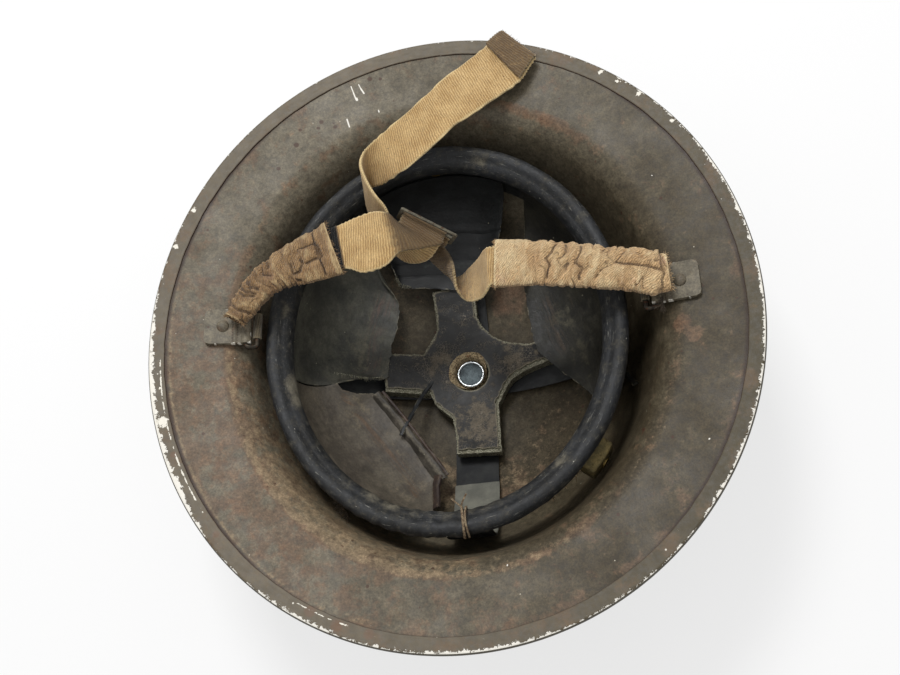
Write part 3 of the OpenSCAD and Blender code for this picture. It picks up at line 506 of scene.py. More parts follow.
def inside_paint():
    """Worn olive-brown paint with rust, pits and rubbed spots, and painted light and shade; marks:
    painted_shade (painted sheen and shade), rust, rub_and_highlight (rubbing, and painted highlight and light),
    seam, white.
    """
    f = Finish("inside_paint", specular=0.22)
    cloud = f.noise(30, 4, 0.62)
    fine = f.noise(2.6, 5, 0.75)
    tiny = f.noise(0.9, 3, 0.7)
    # A lit and a shaded copy of the paint colour: the painted shade mark turns it from the lit one to the
    # shaded one.
    base = f.mix(f.span(f.add(f.mark("painted_shade"), f.times(cloud, 0.5)), 0.05, 1.2), "#6d6657", "#423a2c")
    base = f.mix(f.span(f.noise(13, 5, 0.7), 0.45, 0.66, 0, 0.5), base, "#565040")
    bloom = f.span(f.add(f.noise(13, 6, 0.72), f.times(f.mark("rust"), 0.2)), 0.6, 0.74)
    base = f.mix(f.times(bloom, 0.7), base, "#665241")
    flush = f.span(f.add(f.noise(8, 6, 0.72), f.times(f.mark("rust"), 0.13)), 0.6, 0.78)
    base = f.mix(f.times(flush, 0.55), base, "#6f543f")
    # Paler where rubbed, and also a painted highlight on the lit flare ridge and painted light on the front
    # left wall.
    pale = f.add(f.noise(4, 6, 0.8), f.times(f.mark("rub_and_highlight"), 0.24))
    base = f.mix(f.span(pale, 0.6, 0.78, 0, 0.75), base, "#84745c")
    base = f.vary(base, f.noise(9, 5, 0.7), 0.2)
    base = f.vary(base, fine, 0.36)
    base = f.vary(base, tiny, 0.24)
    base = f.mix(f.span(f.noise(4.2, 3, 0.6), 0.69, 0.73, 0, 0.75), base, "#43291e")
    specks = f.dots(9, 0.1, 0.34)
    base = f.mix(f.times(specks, 0.7), base, "#42291f")
    base = f.mix(f.span(f.noise(1.6, 4, 0.75), 0.68, 0.76, 0, 0.6), base, "#4c3527")
    base = f.mix(f.dots(7, 0.045, 0.3), base, "#b9b1a0")
    base = f.mix(f.span(f.mark("seam"), 0.0, 1.0, 0, 0.9), base, "#2e1f18")
    for place, radius in PITS:
        base = f.mix(f.times(f.near_line(place, (place[0] + 0.3, place[1]), 2 * radius), 0.8), base, "#3f281e")
    for start, end, width in SCRATCHES:
        base = f.mix(f.near_line(start, end, width), base, "#e4e0d6")
    base = f.mix(f.span(f.add(f.mark("white"), f.times(fine, 0.5)), 0.62, 0.66), base, "#d9d5c9")
    rough = f.span(f.add(cloud, f.times(fine, 0.5)), 0.4, 1.1, 0.36, 0.6)
    normal = f.bump(tiny, 0.05, f.bump(fine, 0.12))
    return f.done(base, rough, normal)


def outside_paint():
    """Dark olive drab with sand in it, chipped to pale undercoat and rusty at the crown; mark:
    rub_and_highlight, which here is only rubbing.
    """
    f = Finish("outside_paint", specular=0.4)
    fine = f.noise(2.4, 5, 0.75)
    base = f.mix(f.span(f.noise(30, 4, 0.6), 0.35, 0.7), "#474436", "#58533f")
    base = f.vary(base, f.noise(8, 4, 0.7), 0.16)
    base = f.vary(base, fine, 0.16)
    scuff = f.add(f.noise(7, 6, 0.78), f.times(f.mark("rub_and_highlight"), 0.16))
    base = f.mix(f.span(scuff, 0.62, 0.7, 0, 0.8), base, "#6e6048")
    base = f.mix(f.span(scuff, 0.72, 0.735), base, "#cfcabb")
    base = f.mix(f.span(scuff, 0.77, 0.79), base, "#6b4330")
    base = f.mix(f.times(f.dots(9, 0.09, 0.3), 0.8), base, "#3d2a1f")
    sand = f.cells(0.8).outputs["Distance"]
    normal = f.bump(sand, -0.12, f.bump(f.span(scuff, 0.70, 0.735, 1, 0), 0.1))
    return f.done(base, f.span(fine, 0.3, 0.8, 0.55, 0.75), normal)


def band_paint():
    """Olive rim band, worn white along its edge; marks: inset, strip, inner, chip, stain, seam, painted_shade
    (darker to the right, as on the brim).
    """
    f = Finish("band_paint", specular=0.25)
    fine = f.noise(2.2, 5, 0.75)
    # Painted shade: a lit and a shaded copy of the band colour, darker to the right as on the brim.
    base = f.mix(f.mark("painted_shade"), "#655c4d", "#474030")
    base = f.mix(f.span(f.noise(14, 5, 0.7), 0.5, 0.66, 0, 0.6), base, "#66533f")
    base = f.vary(base, f.noise(6, 4, 0.65), 0.14)
    base = f.vary(base, fine, 0.18)
    stain = f.span(f.add(f.mark("stain"), f.times(f.noise(1.6, 4, 0.75), 0.9)), 0.6, 1.5, 0, 0.5)
    base = f.mix(stain, base, "#705340")
    base = f.mix(f.span(f.mark("seam"), 0.2, 0.9, 0, 0.9), base, "#33211a")
    ragged_line = f.add(f.mark("inset"), f.times(f.add(f.noise(2.4, 5, 0.75), -0.5), 8.0))
    strip = f.math("LESS_THAN", ragged_line, f.mark("strip"))
    strip = f.times(strip, f.math("GREATER_THAN", f.mark("inset"), 0.75))
    strip = f.times(strip, f.math("GREATER_THAN", f.mark("strip"), 0.02))
    base = f.mix(strip, base, "#e6e2d8")
    streak = f.add(f.mark("inner"), f.times(f.add(f.noise(3.4, 4, 0.7), -0.5), 3.2))
    base = f.mix(f.math("GREATER_THAN", streak, 0.85), base, "#e2ddd0")
    chip = f.add(f.mark("chip"), f.times(f.add(f.noise(1.5, 4, 0.75), -0.5), 2.4))
    base = f.mix(f.math("GREATER_THAN", chip, 0.55), base, "#e6e1d4")
    base = f.mix(f.times(f.dots(5, 0.1, 0.16), 0.9), base, "#d8d3c6")
    base = f.mix(f.math("LESS_THAN", f.mark("inset"), 0.7), base, "#4c483f")
    normal = f.bump(fine, 0.08, f.bump(strip, -0.1))
    return f.done(base, f.span(fine, 0.3, 0.8, 0.42, 0.62), normal)


def oilcloth(name, low, high, streak, crackle=0.5, gloss=0.45, cracks=1.9):
    """Black or dark oilcloth: cloudy, cracked and rubbed brown; marks: edge, fade."""
    f = Finish(name, specular=0.5)
    base = f.mix(f.span(f.noise(14, 4, 0.65), 0.35, 0.7), low, high)
    worn = f.add(f.noise(6, 6, 0.8), f.times(f.mark("fade_and_highlight"), 0.2))
    base = f.mix(f.span(worn, 0.55, 0.72, 0, 0.85), base, streak)
    fissure = f.span(f.cells(cracks, "DISTANCE_TO_EDGE").outputs["Distance"], 0.0, 0.06, 1, 0)
    fissure = f.times(fissure, f.span(f.add(f.noise(7, 4), f.times(f.mark("fade_and_highlight"), 0.15)), 0.52, 0.6))
    base = f.mix(f.times(fissure, crackle), base, "#8b8171")
    base = f.vary(base, f.noise(2.6, 5, 0.75), 0.25)
    base = f.mix(f.span(f.noise(0.9, 4, 0.8), 0.6, 0.72, 0, 0.5), base, "#8d8674")
    base = f.mix(f.dots(6, 0.06, 0.3), base, "#b0a891")
    torn = f.add(f.mark("edge"), f.times(f.noise(1.2, 4), 1.4))
    base = f.mix(f.span(torn, 0.5, 1.5, 0.85, 0), base, "#8a826c")
    normal = f.bump(f.noise(0.7, 3, 0.6), 0.06, f.bump(f.noise(4, 5, 0.65), 0.35))
    normal = f.bump(fissure, -0.08, normal)
    return f.done(base, f.span(worn, 0.35, 0.85, gloss, gloss + 0.25), normal)


def flap_cloth(name, low, high, streak, wear, gloss=0.5):
    """Thin oilcloth of the hanging flaps; marks: side and down in mm, edge, fade_and_highlight (worn pale, and
    a painted highlight along rolled edges and ridges), warm (reddish).
    """
    f = Finish(name, specular=0.45)
    base = f.mix(f.span(f.noise(18, 4, 0.6), 0.35, 0.68), low, high)
    grain = f.noise(2.4, 5, 0.75, where=f.marks(("side", "down"), (8, 1)))
    base = f.mix(f.span(f.add(grain, f.times(f.mark("warm"), 0.18)), 0.55, 0.85), base, streak)
    # Pale where rubbed, and also where a painted highlight runs along rolled edges and ridges.
    rubbed = f.add(f.noise(5, 6, 0.78), f.times(f.mark("fade_and_highlight"), 0.14))
    base = f.mix(f.span(rubbed, 0.56, 0.82, 0, 0.7), base, wear)
    base = f.vary(base, f.noise(6, 4, 0.65), 0.2)
    base = f.vary(base, f.noise(1.4, 4, 0.75), 0.22)
    base = f.mix(f.span(grain, 0.66, 0.72, 0, 0.35), base, wear)
    base = f.mix(f.dots(6, 0.06, 0.25), base, "#a09a86")
    base = f.mix(f.dots(3.2, 0.12, 0.08), base, "#1c1a17")
    frayed = f.add(f.mark("edge"), f.times(f.noise(1.1, 4), 1.6))
    frayed = f.add(frayed, f.span(f.noise(6, 3), 0.4, 0.6, 1.2, 0))
    base = f.mix(f.span(frayed, 0.5, 1.5, 0.8, 0), base, "#8f8873")
    normal = f.bump(f.noise(0.7, 4, 0.7), 0.1, f.bump(grain, 0.25, f.bump(f.noise(7, 4, 0.6), 0.5)))
    return f.done(base, f.span(rubbed, 0.35, 0.85, gloss, gloss + 0.25), normal)


def roll_cloth():
    """Blue-black oilcloth of the padded roll, with scuffs, dust and scratches; marks: fade, around, turn."""
    f = Finish("roll_oilcloth", specular=0.38)
    base = f.mix(f.span(f.noise(22, 4, 0.6), 0.35, 0.7), "#141516", "#222427")
    scuff = f.add(f.noise(5, 6, 0.8), f.times(f.mark("fade_and_highlight"), 0.3))
    base = f.mix(f.span(scuff, 0.55, 1.0, 0, 0.75), base, "#736d5e")
    base = f.vary(base, f.noise(3, 5, 0.75), 0.3)
    base = f.mix(f.span(f.noise(1.0, 4, 0.75), 0.62, 0.72, 0, 0.65), base, "#76746c")
    hair = f.noise(1.1, 4, 0.75, where=f.marks(("turn", "around"), (9, 1)))
    base = f.mix(f.span(hair, 0.61, 0.68, 0, 0.7), base, "#85847c")
    base = f.mix(f.dots(5, 0.06, 0.3), base, "#bcb8ab")
    wrinkle = f.noise(3, 4, 0.65, warp=1.2)
    normal = f.bump(hair, 0.1, f.bump(wrinkle, 0.35))
    return f.done(base, f.span(scuff, 0.35, 0.8, 0.46, 0.75), normal)


def felt():
    f = Finish("felt", specular=0.2)
    fibre = f.noise(0.7, 5, 0.85)
    base = f.mix(f.span(fibre, 0.4, 0.6), "#3a382c", "#b4b09a")
    base = f.mix(f.span(f.noise(5, 3), 0.45, 0.75, 0, 0.4), base, "#6b6350")
    normal = f.bump(fibre, 0.6, f.bump(f.noise(2, 4, 0.7), 0.6))
    return f.done(base, 0.95, normal)


def fibre_board(name, low, high, streak):
    f = Finish(name, specular=0.4)
    base = f.mix(f.span(f.noise(10, 4, 0.6), 0.35, 0.7), low, high)
    base = f.mix(f.span(f.noise(1.6, 4, 0.75), 0.6, 0.78, 0, 0.7), base, streak)
    normal = f.bump(f.noise(0.9, 4, 0.7), 0.18)
    return f.done(base, f.span(f.noise(4, 3), 0.3, 0.7, 0.5, 0.7), normal)


def woven(name, low, high, dirt, pitch=1.25, slant=0.12, pale="#e2cb98", relief=0.34):
    """Ribbed cotton webbing; marks along and across in mm, edge to the selvedge in mm, grime_and_shade (dirt
    and painted shade, and from 1.6 up a near-black painted shadow).
    """
    f = Finish(name, specular=0.2)
    along = f.add(f.mark("along"), f.times(f.mark("across"), slant))
    along = f.add(along, f.times(f.noise(3, 4), 1.5))
    rib = f.wave(along, pitch)
    yarn = f.noise(0.6, 4, 0.8)
    knots = f.times(f.wave(f.mark("across"), 0.9), rib)
    base = f.mix(f.span(f.noise(12, 5, 0.7), 0.35, 0.68), low, high)
    base = f.mix(f.span(f.noise(3, 5, 0.8), 0.52, 0.75, 0, 0.6), base, dirt)
    worn = f.span(f.noise(4, 4, 0.7), 0.35, 0.65, 0.25, 0.6)
    base = f.mix(f.times(f.span(rib, 0.05, 0.5, 1, 0), worn), base, dirt)
    base = f.mix(f.times(f.span(f.add(rib, f.times(yarn, 0.6)), 0.95, 1.5), 0.6), base, pale)
    base = f.vary(base, yarn, 0.22)
    base = f.mix(f.span(f.add(f.mark("edge"), f.times(yarn, 1.0)), 0.5, 1.7, 0.75, 0), base, pale)
    base = f.mix(f.dots(3.4, 0.1, 0.12), base, "#5d4229")
    # Darker where the mark is high: dirt and rust stains, and painted shade of folds.
    soiled_and_shaded = f.add(f.mark("grime_and_shade"), f.times(f.noise(3, 5, 0.75), 0.6))
    base = f.mix(f.span(soiled_and_shaded, 0.55, 0.95, 0, 0.85), base, "#4a3a2b")
    # Painted shadow: near black where the mark passes 1.6.
    base = f.mix(f.span(f.mark("grime_and_shade"), 1.6, 1.8), base, "#0d0c0b")
    weave = f.add(f.times(rib, 0.75), f.times(knots, 0.25))
    normal = f.bump(yarn, 0.3, f.bump(weave, relief))
    f.shader.inputs["Sheen Weight"].default_value = 0.2
    return f.done(base, 0.9, normal)


def sleeve_cotton(name, low, high, blush, dark, lit_crest):
    """Twilled cotton of a gathered sleeve; marks along and across in mm, crease_shade (painted shade in the
    creases and inside), lit_crest (painted highlight on the puffs), blush, edge.
    """
    f = Finish(name, specular=0.2)
    twill = f.add(f.mark("along"), f.times(f.mark("across"), 0.8))
    twill = f.add(twill, f.times(f.noise(4, 4, 0.6), 3.2))
    rib = f.wave(twill, 1.15)
    yarn = f.noise(0.7, 4, 0.8)
    base = f.mix(f.span(f.noise(9, 5, 0.7), 0.35, 0.68), low, high)
    flush = f.add(f.noise(11, 4, 0.65), f.times(f.mark("blush"), 0.25))
    base = f.mix(f.span(flush, 0.6, 0.8, 0, 0.7), base, blush)
    worn = f.span(f.noise(5, 4, 0.7), 0.35, 0.65, 0.2, 0.55)
    base = f.mix(f.times(f.span(rib, 0.1, 0.6, 1, 0), worn), base, dark)
    base = f.mix(f.span(f.noise(2.6, 5, 0.8), 0.54, 0.72, 0, 0.6), base, dark)
    base = f.vary(base, yarn, 0.28)
    # Painted highlight on the tops of the puffs.
    raised = f.add(f.mark("lit_crest"), f.times(f.noise(3, 5, 0.8), 1.0))
    base = f.mix(f.span(raised, 0.7, 1.6, 0, 0.6), base, lit_crest)
    # Painted shade in the creases.
    folded = f.add(f.mark("crease_shade"), f.times(f.add(f.noise(1.8, 4, 0.75), -0.5), 0.7))
    base = f.mix(f.span(folded, 0.25, 0.8, 0, 0.95), base, "#3c2a18")
    base = f.mix(f.span(f.add(f.mark("edge"), f.times(yarn, 1.2)), 0.5, 1.7, 0.8, 0), base, lit_crest)
    base = f.mix(f.dots(4.5, 0.1, 0.16), base, "#5d4229")
    normal = f.bump(yarn, 0.35, f.bump(rib, 0.45))
    f.shader.inputs["Sheen Weight"].default_value = 0.2
    return f.done(base, 0.9, normal)


def speckled_washer():
    f = Finish("rusty_washer", specular=0.2)
    grain = f.noise(0.9, 5, 0.85)
    base = f.mix(f.span(grain, 0.4, 0.6), "#4f3c2a", "#d4bf98")
    base = f.mix(f.span(f.noise(3, 4, 0.7), 0.55, 0.7, 0, 0.8), base, "#8a5a3a")
    return f.done(base, 0.9, f.bump(grain, 0.7))


def screw_end():
    """Blue-grey end of the screw and floor of the nut's dish, darkened as painted shade of the dish."""
    f = Finish("screw_end_painted_shade", metallic=0.6)
    base = f.mix(f.span(f.noise(2.5, 4, 0.7), 0.35, 0.65), "#2c3336", "#4b5558")
    base = f.vary(base, f.noise(0.8, 4, 0.8), 0.25)
    return f.done(base, 0.42, f.bump(f.noise(1.0, 4, 0.7), 0.12))


def bare_metal(name, low, high, rust, share, roughness, metallic=1.0):
    f = Finish(name, metallic=metallic)
    base = f.mix(f.span(f.noise(3, 4, 0.6), 0.3, 0.7), low, high)
    spots = f.noise(1.8, 5, 0.75)
    base = f.mix(f.span(spots, 0.62 - share, 0.74 - share), base, rust)
    normal = f.bump(f.noise(0.5, 3, 0.6), 0.04, f.bump(spots, 0.1))
    return f.done(base, f.span(spots, 0.4, 0.75, roughness, roughness + 0.35), normal)


def old_rubber():
    f = Finish("old_rubber", specular=0.35)
    base = f.mix(f.span(f.noise(6, 4, 0.65), 0.35, 0.68), "#6c6244", "#9c8a5a")
    base = f.mix(f.span(f.noise(1.6, 4, 0.75), 0.52, 0.7, 0, 0.8), base, "#2f2719")
    base = f.mix(f.span(f.noise(1.1, 3, 0.7), 0.68, 0.75, 0, 0.8), base, "#a08a58")
    normal = f.bump(f.noise(1.0, 4, 0.7), 0.35)
    return f.done(base, 0.8, normal)


def twine():
    f = Finish("twine", specular=0.2)
    base = f.mix(f.span(f.noise(1.2, 3, 0.7), 0.35, 0.7), "#5c4a3a", "#9d8d73")
    return f.done(base, 0.9, f.bump(f.noise(0.5, 3), 0.15))


PAINT = inside_paint()
OUTSIDE = outside_paint()
BAND = band_paint()
ROLL = roll_cloth()
LINING = oilcloth("lining_oilcloth", "#0f1011", "#1b1d1f", "#3a3833", 0.2, 0.4)
TONGUE = flap_cloth("left_flap_oilcloth", "#393934", "#55544a", "#594840", "#6c6858")
FRONT_TONGUE = flap_cloth("front_flap_oilcloth", "#48423a", "#5f584c", "#5d4936", "#7b705c")
RIGHT_TONGUE = flap_cloth("right_flap_oilcloth", "#1b1a16", "#29271f", "#3f3428", "#545041")
BACK_TONGUE = flap_cloth("back_flap_oilcloth", "#121314", "#1f2122", "#2c2c2a", "#434542", 0.45)
COVER = oilcloth("pad_oilcloth", "#0c0c0b", "#181715", "#665c4c", 0.7, 0.5, 1.5)
FELT = felt()
BOARD = fibre_board("headband_fibre", "#1f1d1a", "#312d27", "#4f4539")
STRAP = fibre_board("frame_strap_cloth", "#1d1e20", "#2c2d2c", "#4d4c44")
PATCH = fibre_board("strap_end_cloth", "#62625a", "#7c7b70", "#a09c8c")
WEBBING = woven("webbing", "#b38f5c", "#d4b27c", "#7b5c38")
PAINTED_TAB = woven("painted_webbing", "#4b4436", "#625948", "#3a3226", pale="#75694f")
LEFT_COTTON = sleeve_cotton("left_sleeve_cotton", "#8f704c", "#ac8c63", "#9b7757", "#5f472c", "#d6bd8e")
RIGHT_COTTON = sleeve_cotton("right_sleeve_cotton", "#cba679", "#e2c293", "#d3a78b", "#7f5f3a", "#f0dbae")
WASHER = speckled_washer()
SCREW_END = screw_end()
# Rolled flap edge: its pale wear colour is the painted highlight along its crest.
ROLLED = flap_cloth("rolled_flap_edge", "#38342e", "#514b43", "#57493f", "#7f7869")
TUFT = flap_cloth("torn_red_brown_cloth", "#2e231e", "#443429", "#57402f", "#75644f")
ZINC = bare_metal("bright_zinc", "#b9bec0", "#dfe2e2", "#8a7a63", -0.08, 0.22)
WIRE = bare_metal("dark_wire", "#2c2925", "#4a443b", "#5b3a28", 0.08, 0.5)
BRASS = bare_metal("dull_brass", "#6a5a35", "#8a7748", "#3c3322", 0.05, 0.45)
BUCKLE = bare_metal("buckle_steel", "#4d493e", "#6c6757", "#4a3626", 0.1, 0.7, 0.15)
RUBBER = old_rubber()
TWINE = twine()
DARK_FIBRE = fibre_board("dark_loose_fibre", "#2c241b", "#4a3d2c", "#8a7552")


# Camera, light and floor

# The solved camera: lens and sensor in mm, place in metres, turns about X, Y and Z in degrees
SENSOR_WIDTH, LENS = 36.0, 38.0
CLIP_START, CLIP_END = 0.01, 20.0
CAMERA_PLACE = (0.0642, -0.1680, 0.5154)
CAMERA_TURNS = (20.29, 9.40, -2.37)
SOFT_LIGHT = 0.66
WINDOW_PLACE, WINDOW_AIM, WINDOW_SIZE, WINDOW_POWER = (-0.12, 0.42, 1.03), (0, 0.02, 0.06), 0.3, 6.4


def make_camera():
    data = bpy.data.cameras.new("camera")
    data.sensor_width, data.lens = SENSOR_WIDTH, LENS
    data.clip_start, data.clip_end = CLIP_START, CLIP_END
    camera = bpy.data.objects.new("camera", data)
    camera.location = CAMERA_PLACE
    camera.rotation_euler = [math.radians(a) for a in CAMERA_TURNS]
    bpy.context.scene.collection.objects.link(camera)
    bpy.context.scene.camera = camera


def add_lamp(name, place, aim, size, power):
    data = bpy.data.lights.new(name, "AREA")
    data.size, data.energy = size, power
    lamp = bpy.data.objects.new(name, data)
    lamp.location = place
    lamp.rotation_euler = (Vector(aim) - Vector(place)).to_track_quat("-Z", "Y").to_euler()
    bpy.context.scene.collection.objects.link(lamp)


def seen_directly(tree):
    """Socket that is 1 for camera, glossy and transmission rays."""
    path = tree.nodes.new("ShaderNodeLightPath")
    value = path.outputs["Is Camera Ray"]
    for name in ("Is Glossy Ray", "Is Transmission Ray"):
        either = tree.nodes.new("ShaderNodeMath")
        either.operation = "MAXIMUM"
        tree.links.new(value, either.inputs[0])
        tree.links.new(path.outputs[name], either.inputs[1])
        value = either.outputs[0]
    return value


def make_world(soft_light):
    world = bpy.data.worlds.new("world")
    bpy.context.scene.world = world
    world.use_nodes = True
    tree = world.node_tree
    background = tree.nodes["Background"]
    strength = tree.nodes.new("ShaderNodeMapRange")
    tree.links.new(seen_directly(tree), strength.inputs[0])
    strength.inputs[3].default_value = soft_light
    strength.inputs[4].default_value = 1.0
    tree.links.new(strength.outputs[0], background.inputs["Strength"])
    background.inputs["Color"].default_value = (1, 1, 1, 1)


def make_floor(size=6.0, shadow_share=0.35):
    mesh = bpy.data.meshes.new("floor")
    h = size / 2
    mesh.from_pydata([(-h, -h, 0), (h, -h, 0), (h, h, 0), (-h, h, 0)], [], [(0, 1, 2, 3)])
    material = bpy.data.materials.new("floor_white")
    material.use_nodes = True
    tree = material.node_tree
    shader = tree.nodes["Principled BSDF"]
    shader.inputs["Base Color"].default_value = (0.9, 0.9, 0.9, 1)
    shader.inputs["Roughness"].default_value = 0.9
    glow = tree.nodes.new("ShaderNodeEmission")
    share = tree.nodes.new("ShaderNodeMath")
    share.operation = "MULTIPLY"
    tree.links.new(seen_directly(tree), share.inputs[0])
    share.inputs[1].default_value = 1 - shadow_share
    mixed = tree.nodes.new("ShaderNodeMixShader")
    tree.links.new(share.outputs[0], mixed.inputs[0])
    tree.links.new(shader.outputs[0], mixed.inputs[1])
    tree.links.new(glow.outputs[0], mixed.inputs[2])
    tree.links.new(mixed.outputs[0], tree.nodes["Material Output"].inputs["Surface"])
    mesh.materials.append(material)
    floor = bpy.data.objects.new("floor", mesh)
    bpy.context.scene.collection.objects.link(floor)


make_camera()
make_world(SOFT_LIGHT)
make_floor()
add_lamp("window", WINDOW_PLACE, WINDOW_AIM, WINDOW_SIZE, WINDOW_POWER)
bpy.context.scene.view_settings.view_transform = "Standard"


# Shell and rim band

SHELL_TURNS = 320
# Rows of points over the crown, the shoulder, the flare and the brim
CROWN_ROWS, SHOULDER_ROWS, FLARE_ROWS, BRIM_ROWS = 22, 25, 15, 20
RUST_TURNS = (0, 45, 75, 110, 150, 180, 205, 235, 260, 290, 320, 360)
RUST_SHARE = (0.1, 0.12, 0.3, 0.3, 0.45, 0.85, 1.0, 0.9, 0.6, 0.4, 0.25, 0.1)
# Share of painted shade round the brim and the rim band, by direction in degrees: low for the painted sheen to
# the back and left, high to the right
PAINTED_SHADE_TURNS = (0, 30, 55, 85, 110, 150, 190, 235, 275, 300, 325, 360)
PAINTED_SHADE_SHARE = (1.0, 0.75, 0.5, 0.3, 0.1, 0.3, 0.15, 0.1, 0.45, 0.8, 1.0, 1.0)
# Width in mm of the worn white line on the rim's fold
WORN_TURNS = (0, 25, 35, 50, 70, 80, 95, 120, 140, 150, 168, 175, 182, 190, 197, 205, 212, 218, 224,
              232, 238, 245, 252, 262, 270, 280, 292, 305, 320, 340, 360)
WORN_WIDTH = (1.5, 1.4, 1.0, 0.75, 0.55, 0.3, 0.2, 0.2, 0.3, 0.45, 0.5, 1.4, 3.2, 2.8, 2.2, 2.6, 3.0,
              1.2, 0.5, 0.45, 1.6, 1.9, 1.0, 1.2, 1.9, 1.6, 0.9, 1.0, 1.3, 1.5, 1.5)
# White streaks along its inner edge
INNER_TURNS = (0, 8, 12, 18, 24, 180, 184, 214, 218, 238, 241, 251, 255, 360)
INNER_SHARE = (0, 0, 0.6, 0.6, 0, 0, 1, 1, 0, 0, 0.8, 0.8, 0, 0)
# Chips and stains on the rim band: [direction, distance in from the edge, radius]
RIM_CHIPS = [(196.9, 3.0, 2.6), (190.0, 4.2, 0.7), (151.0, 1.5, 1.2), (159.5, 1.4, 1.3), (54.8, 1.4, 1.1),
             (51.0, 1.6, 0.9), (45.8, 1.4, 1.2), (36.9, 1.5, 1.0)]
RIM_STAINS = [(244.5, 4.5, 2.6), (249.8, 3.5, 2.8), (255.5, 4.0, 2.4), (204.0, 4.0, 1.6), (222.0, 4.0, 1.8)]


def rim_places(table):
    """Chips or stains as [centre, radius] in the plan, for spots."""
    made = []
    for turn, inset, radius in table:
        reach = oval_radius(RIM_WIDTH / 2, RIM_LENGTH / 2, turn) - inset
        made.append(((reach * cosd(turn), reach * sind(turn), 0), radius))
    return made


def shell_stations(turn):
    """Outer skin from the crown to the rim: distance, height, slope in degrees; one column for each turn."""
    rim_r = oval_radius(RIM_WIDTH / 2, RIM_LENGTH / 2, turn)
    wall_r = oval_radius(BOWL_WIDTH / 2, BOWL_LENGTH / 2, turn)
    flare_r = wall_r + FLARE_RADIUS * (sind(WALL_ANGLE) - sind(BRIM_SLOPE))
    flare_z = RIM_HEIGHT - (rim_r - flare_r) * np.tan(np.radians(BRIM_SLOPE))
    wall_z = flare_z - FLARE_RADIUS * (cosd(BRIM_SLOPE) - cosd(WALL_ANGLE))
    reach = wall_r - SHOULDER_RADIUS * (sind(WALL_ANGLE) - sind(CROWN_ANGLE))
    rise = wall_z - SCREW_HEAD_H - SHOULDER_RADIUS * (cosd(CROWN_ANGLE) - cosd(WALL_ANGLE))
    scale = (1 - cosd(CROWN_ANGLE)) * cosd(WALL_ANGLE) - sind(WALL_ANGLE) * sind(CROWN_ANGLE)
    crown_radius = (rise * cosd(WALL_ANGLE) - reach * sind(WALL_ANGLE)) / scale
    crown_r = crown_radius * sind(CROWN_ANGLE)
    crown_z = SCREW_HEAD_H + crown_radius * (1 - cosd(CROWN_ANGLE))
    first = np.degrees(np.arcsin((SCREW_D / 2 + SEAT_GAP) / crown_radius))
    made = []
    for t in np.linspace(0, 1, CROWN_ROWS):
        a = first + (CROWN_ANGLE - first) * t
        made.append((crown_radius * sind(a), SCREW_HEAD_H + crown_radius * (1 - cosd(a)), a))
    for t in np.linspace(0, 1, SHOULDER_ROWS)[1:]:
        a = CROWN_ANGLE + (WALL_ANGLE - CROWN_ANGLE) * t + 0 * turn
        made.append((crown_r + SHOULDER_RADIUS * (sind(a) - sind(CROWN_ANGLE)),
                     crown_z + SHOULDER_RADIUS * (cosd(CROWN_ANGLE) - cosd(a)), a))
    for t in np.linspace(0, 1, FLARE_ROWS):
        a = WALL_ANGLE + (BRIM_SLOPE - WALL_ANGLE) * t + 0 * turn
        made.append((wall_r + FLARE_RADIUS * (sind(WALL_ANGLE) - sind(a)),
                     wall_z + FLARE_RADIUS * (cosd(a) - cosd(WALL_ANGLE)), a))
    for t in np.linspace(0, 1, BRIM_ROWS)[1:]:
        made.append((flare_r + (rim_r - flare_r) * t, flare_z + (RIM_HEIGHT - flare_z) * t,
                     BRIM_SLOPE + 0 * turn))
    return np.array(made).transpose(0, 2, 1)


def skin(stations, turn, lift):
    """Points of the skin, raised into the bowl by lift."""
    r = stations[..., 0] - lift * sind(stations[..., 2])
    z = stations[..., 1] + lift * cosd(stations[..., 2])
    return np.stack([r * cosd(turn), r * sind(turn), z], -1)


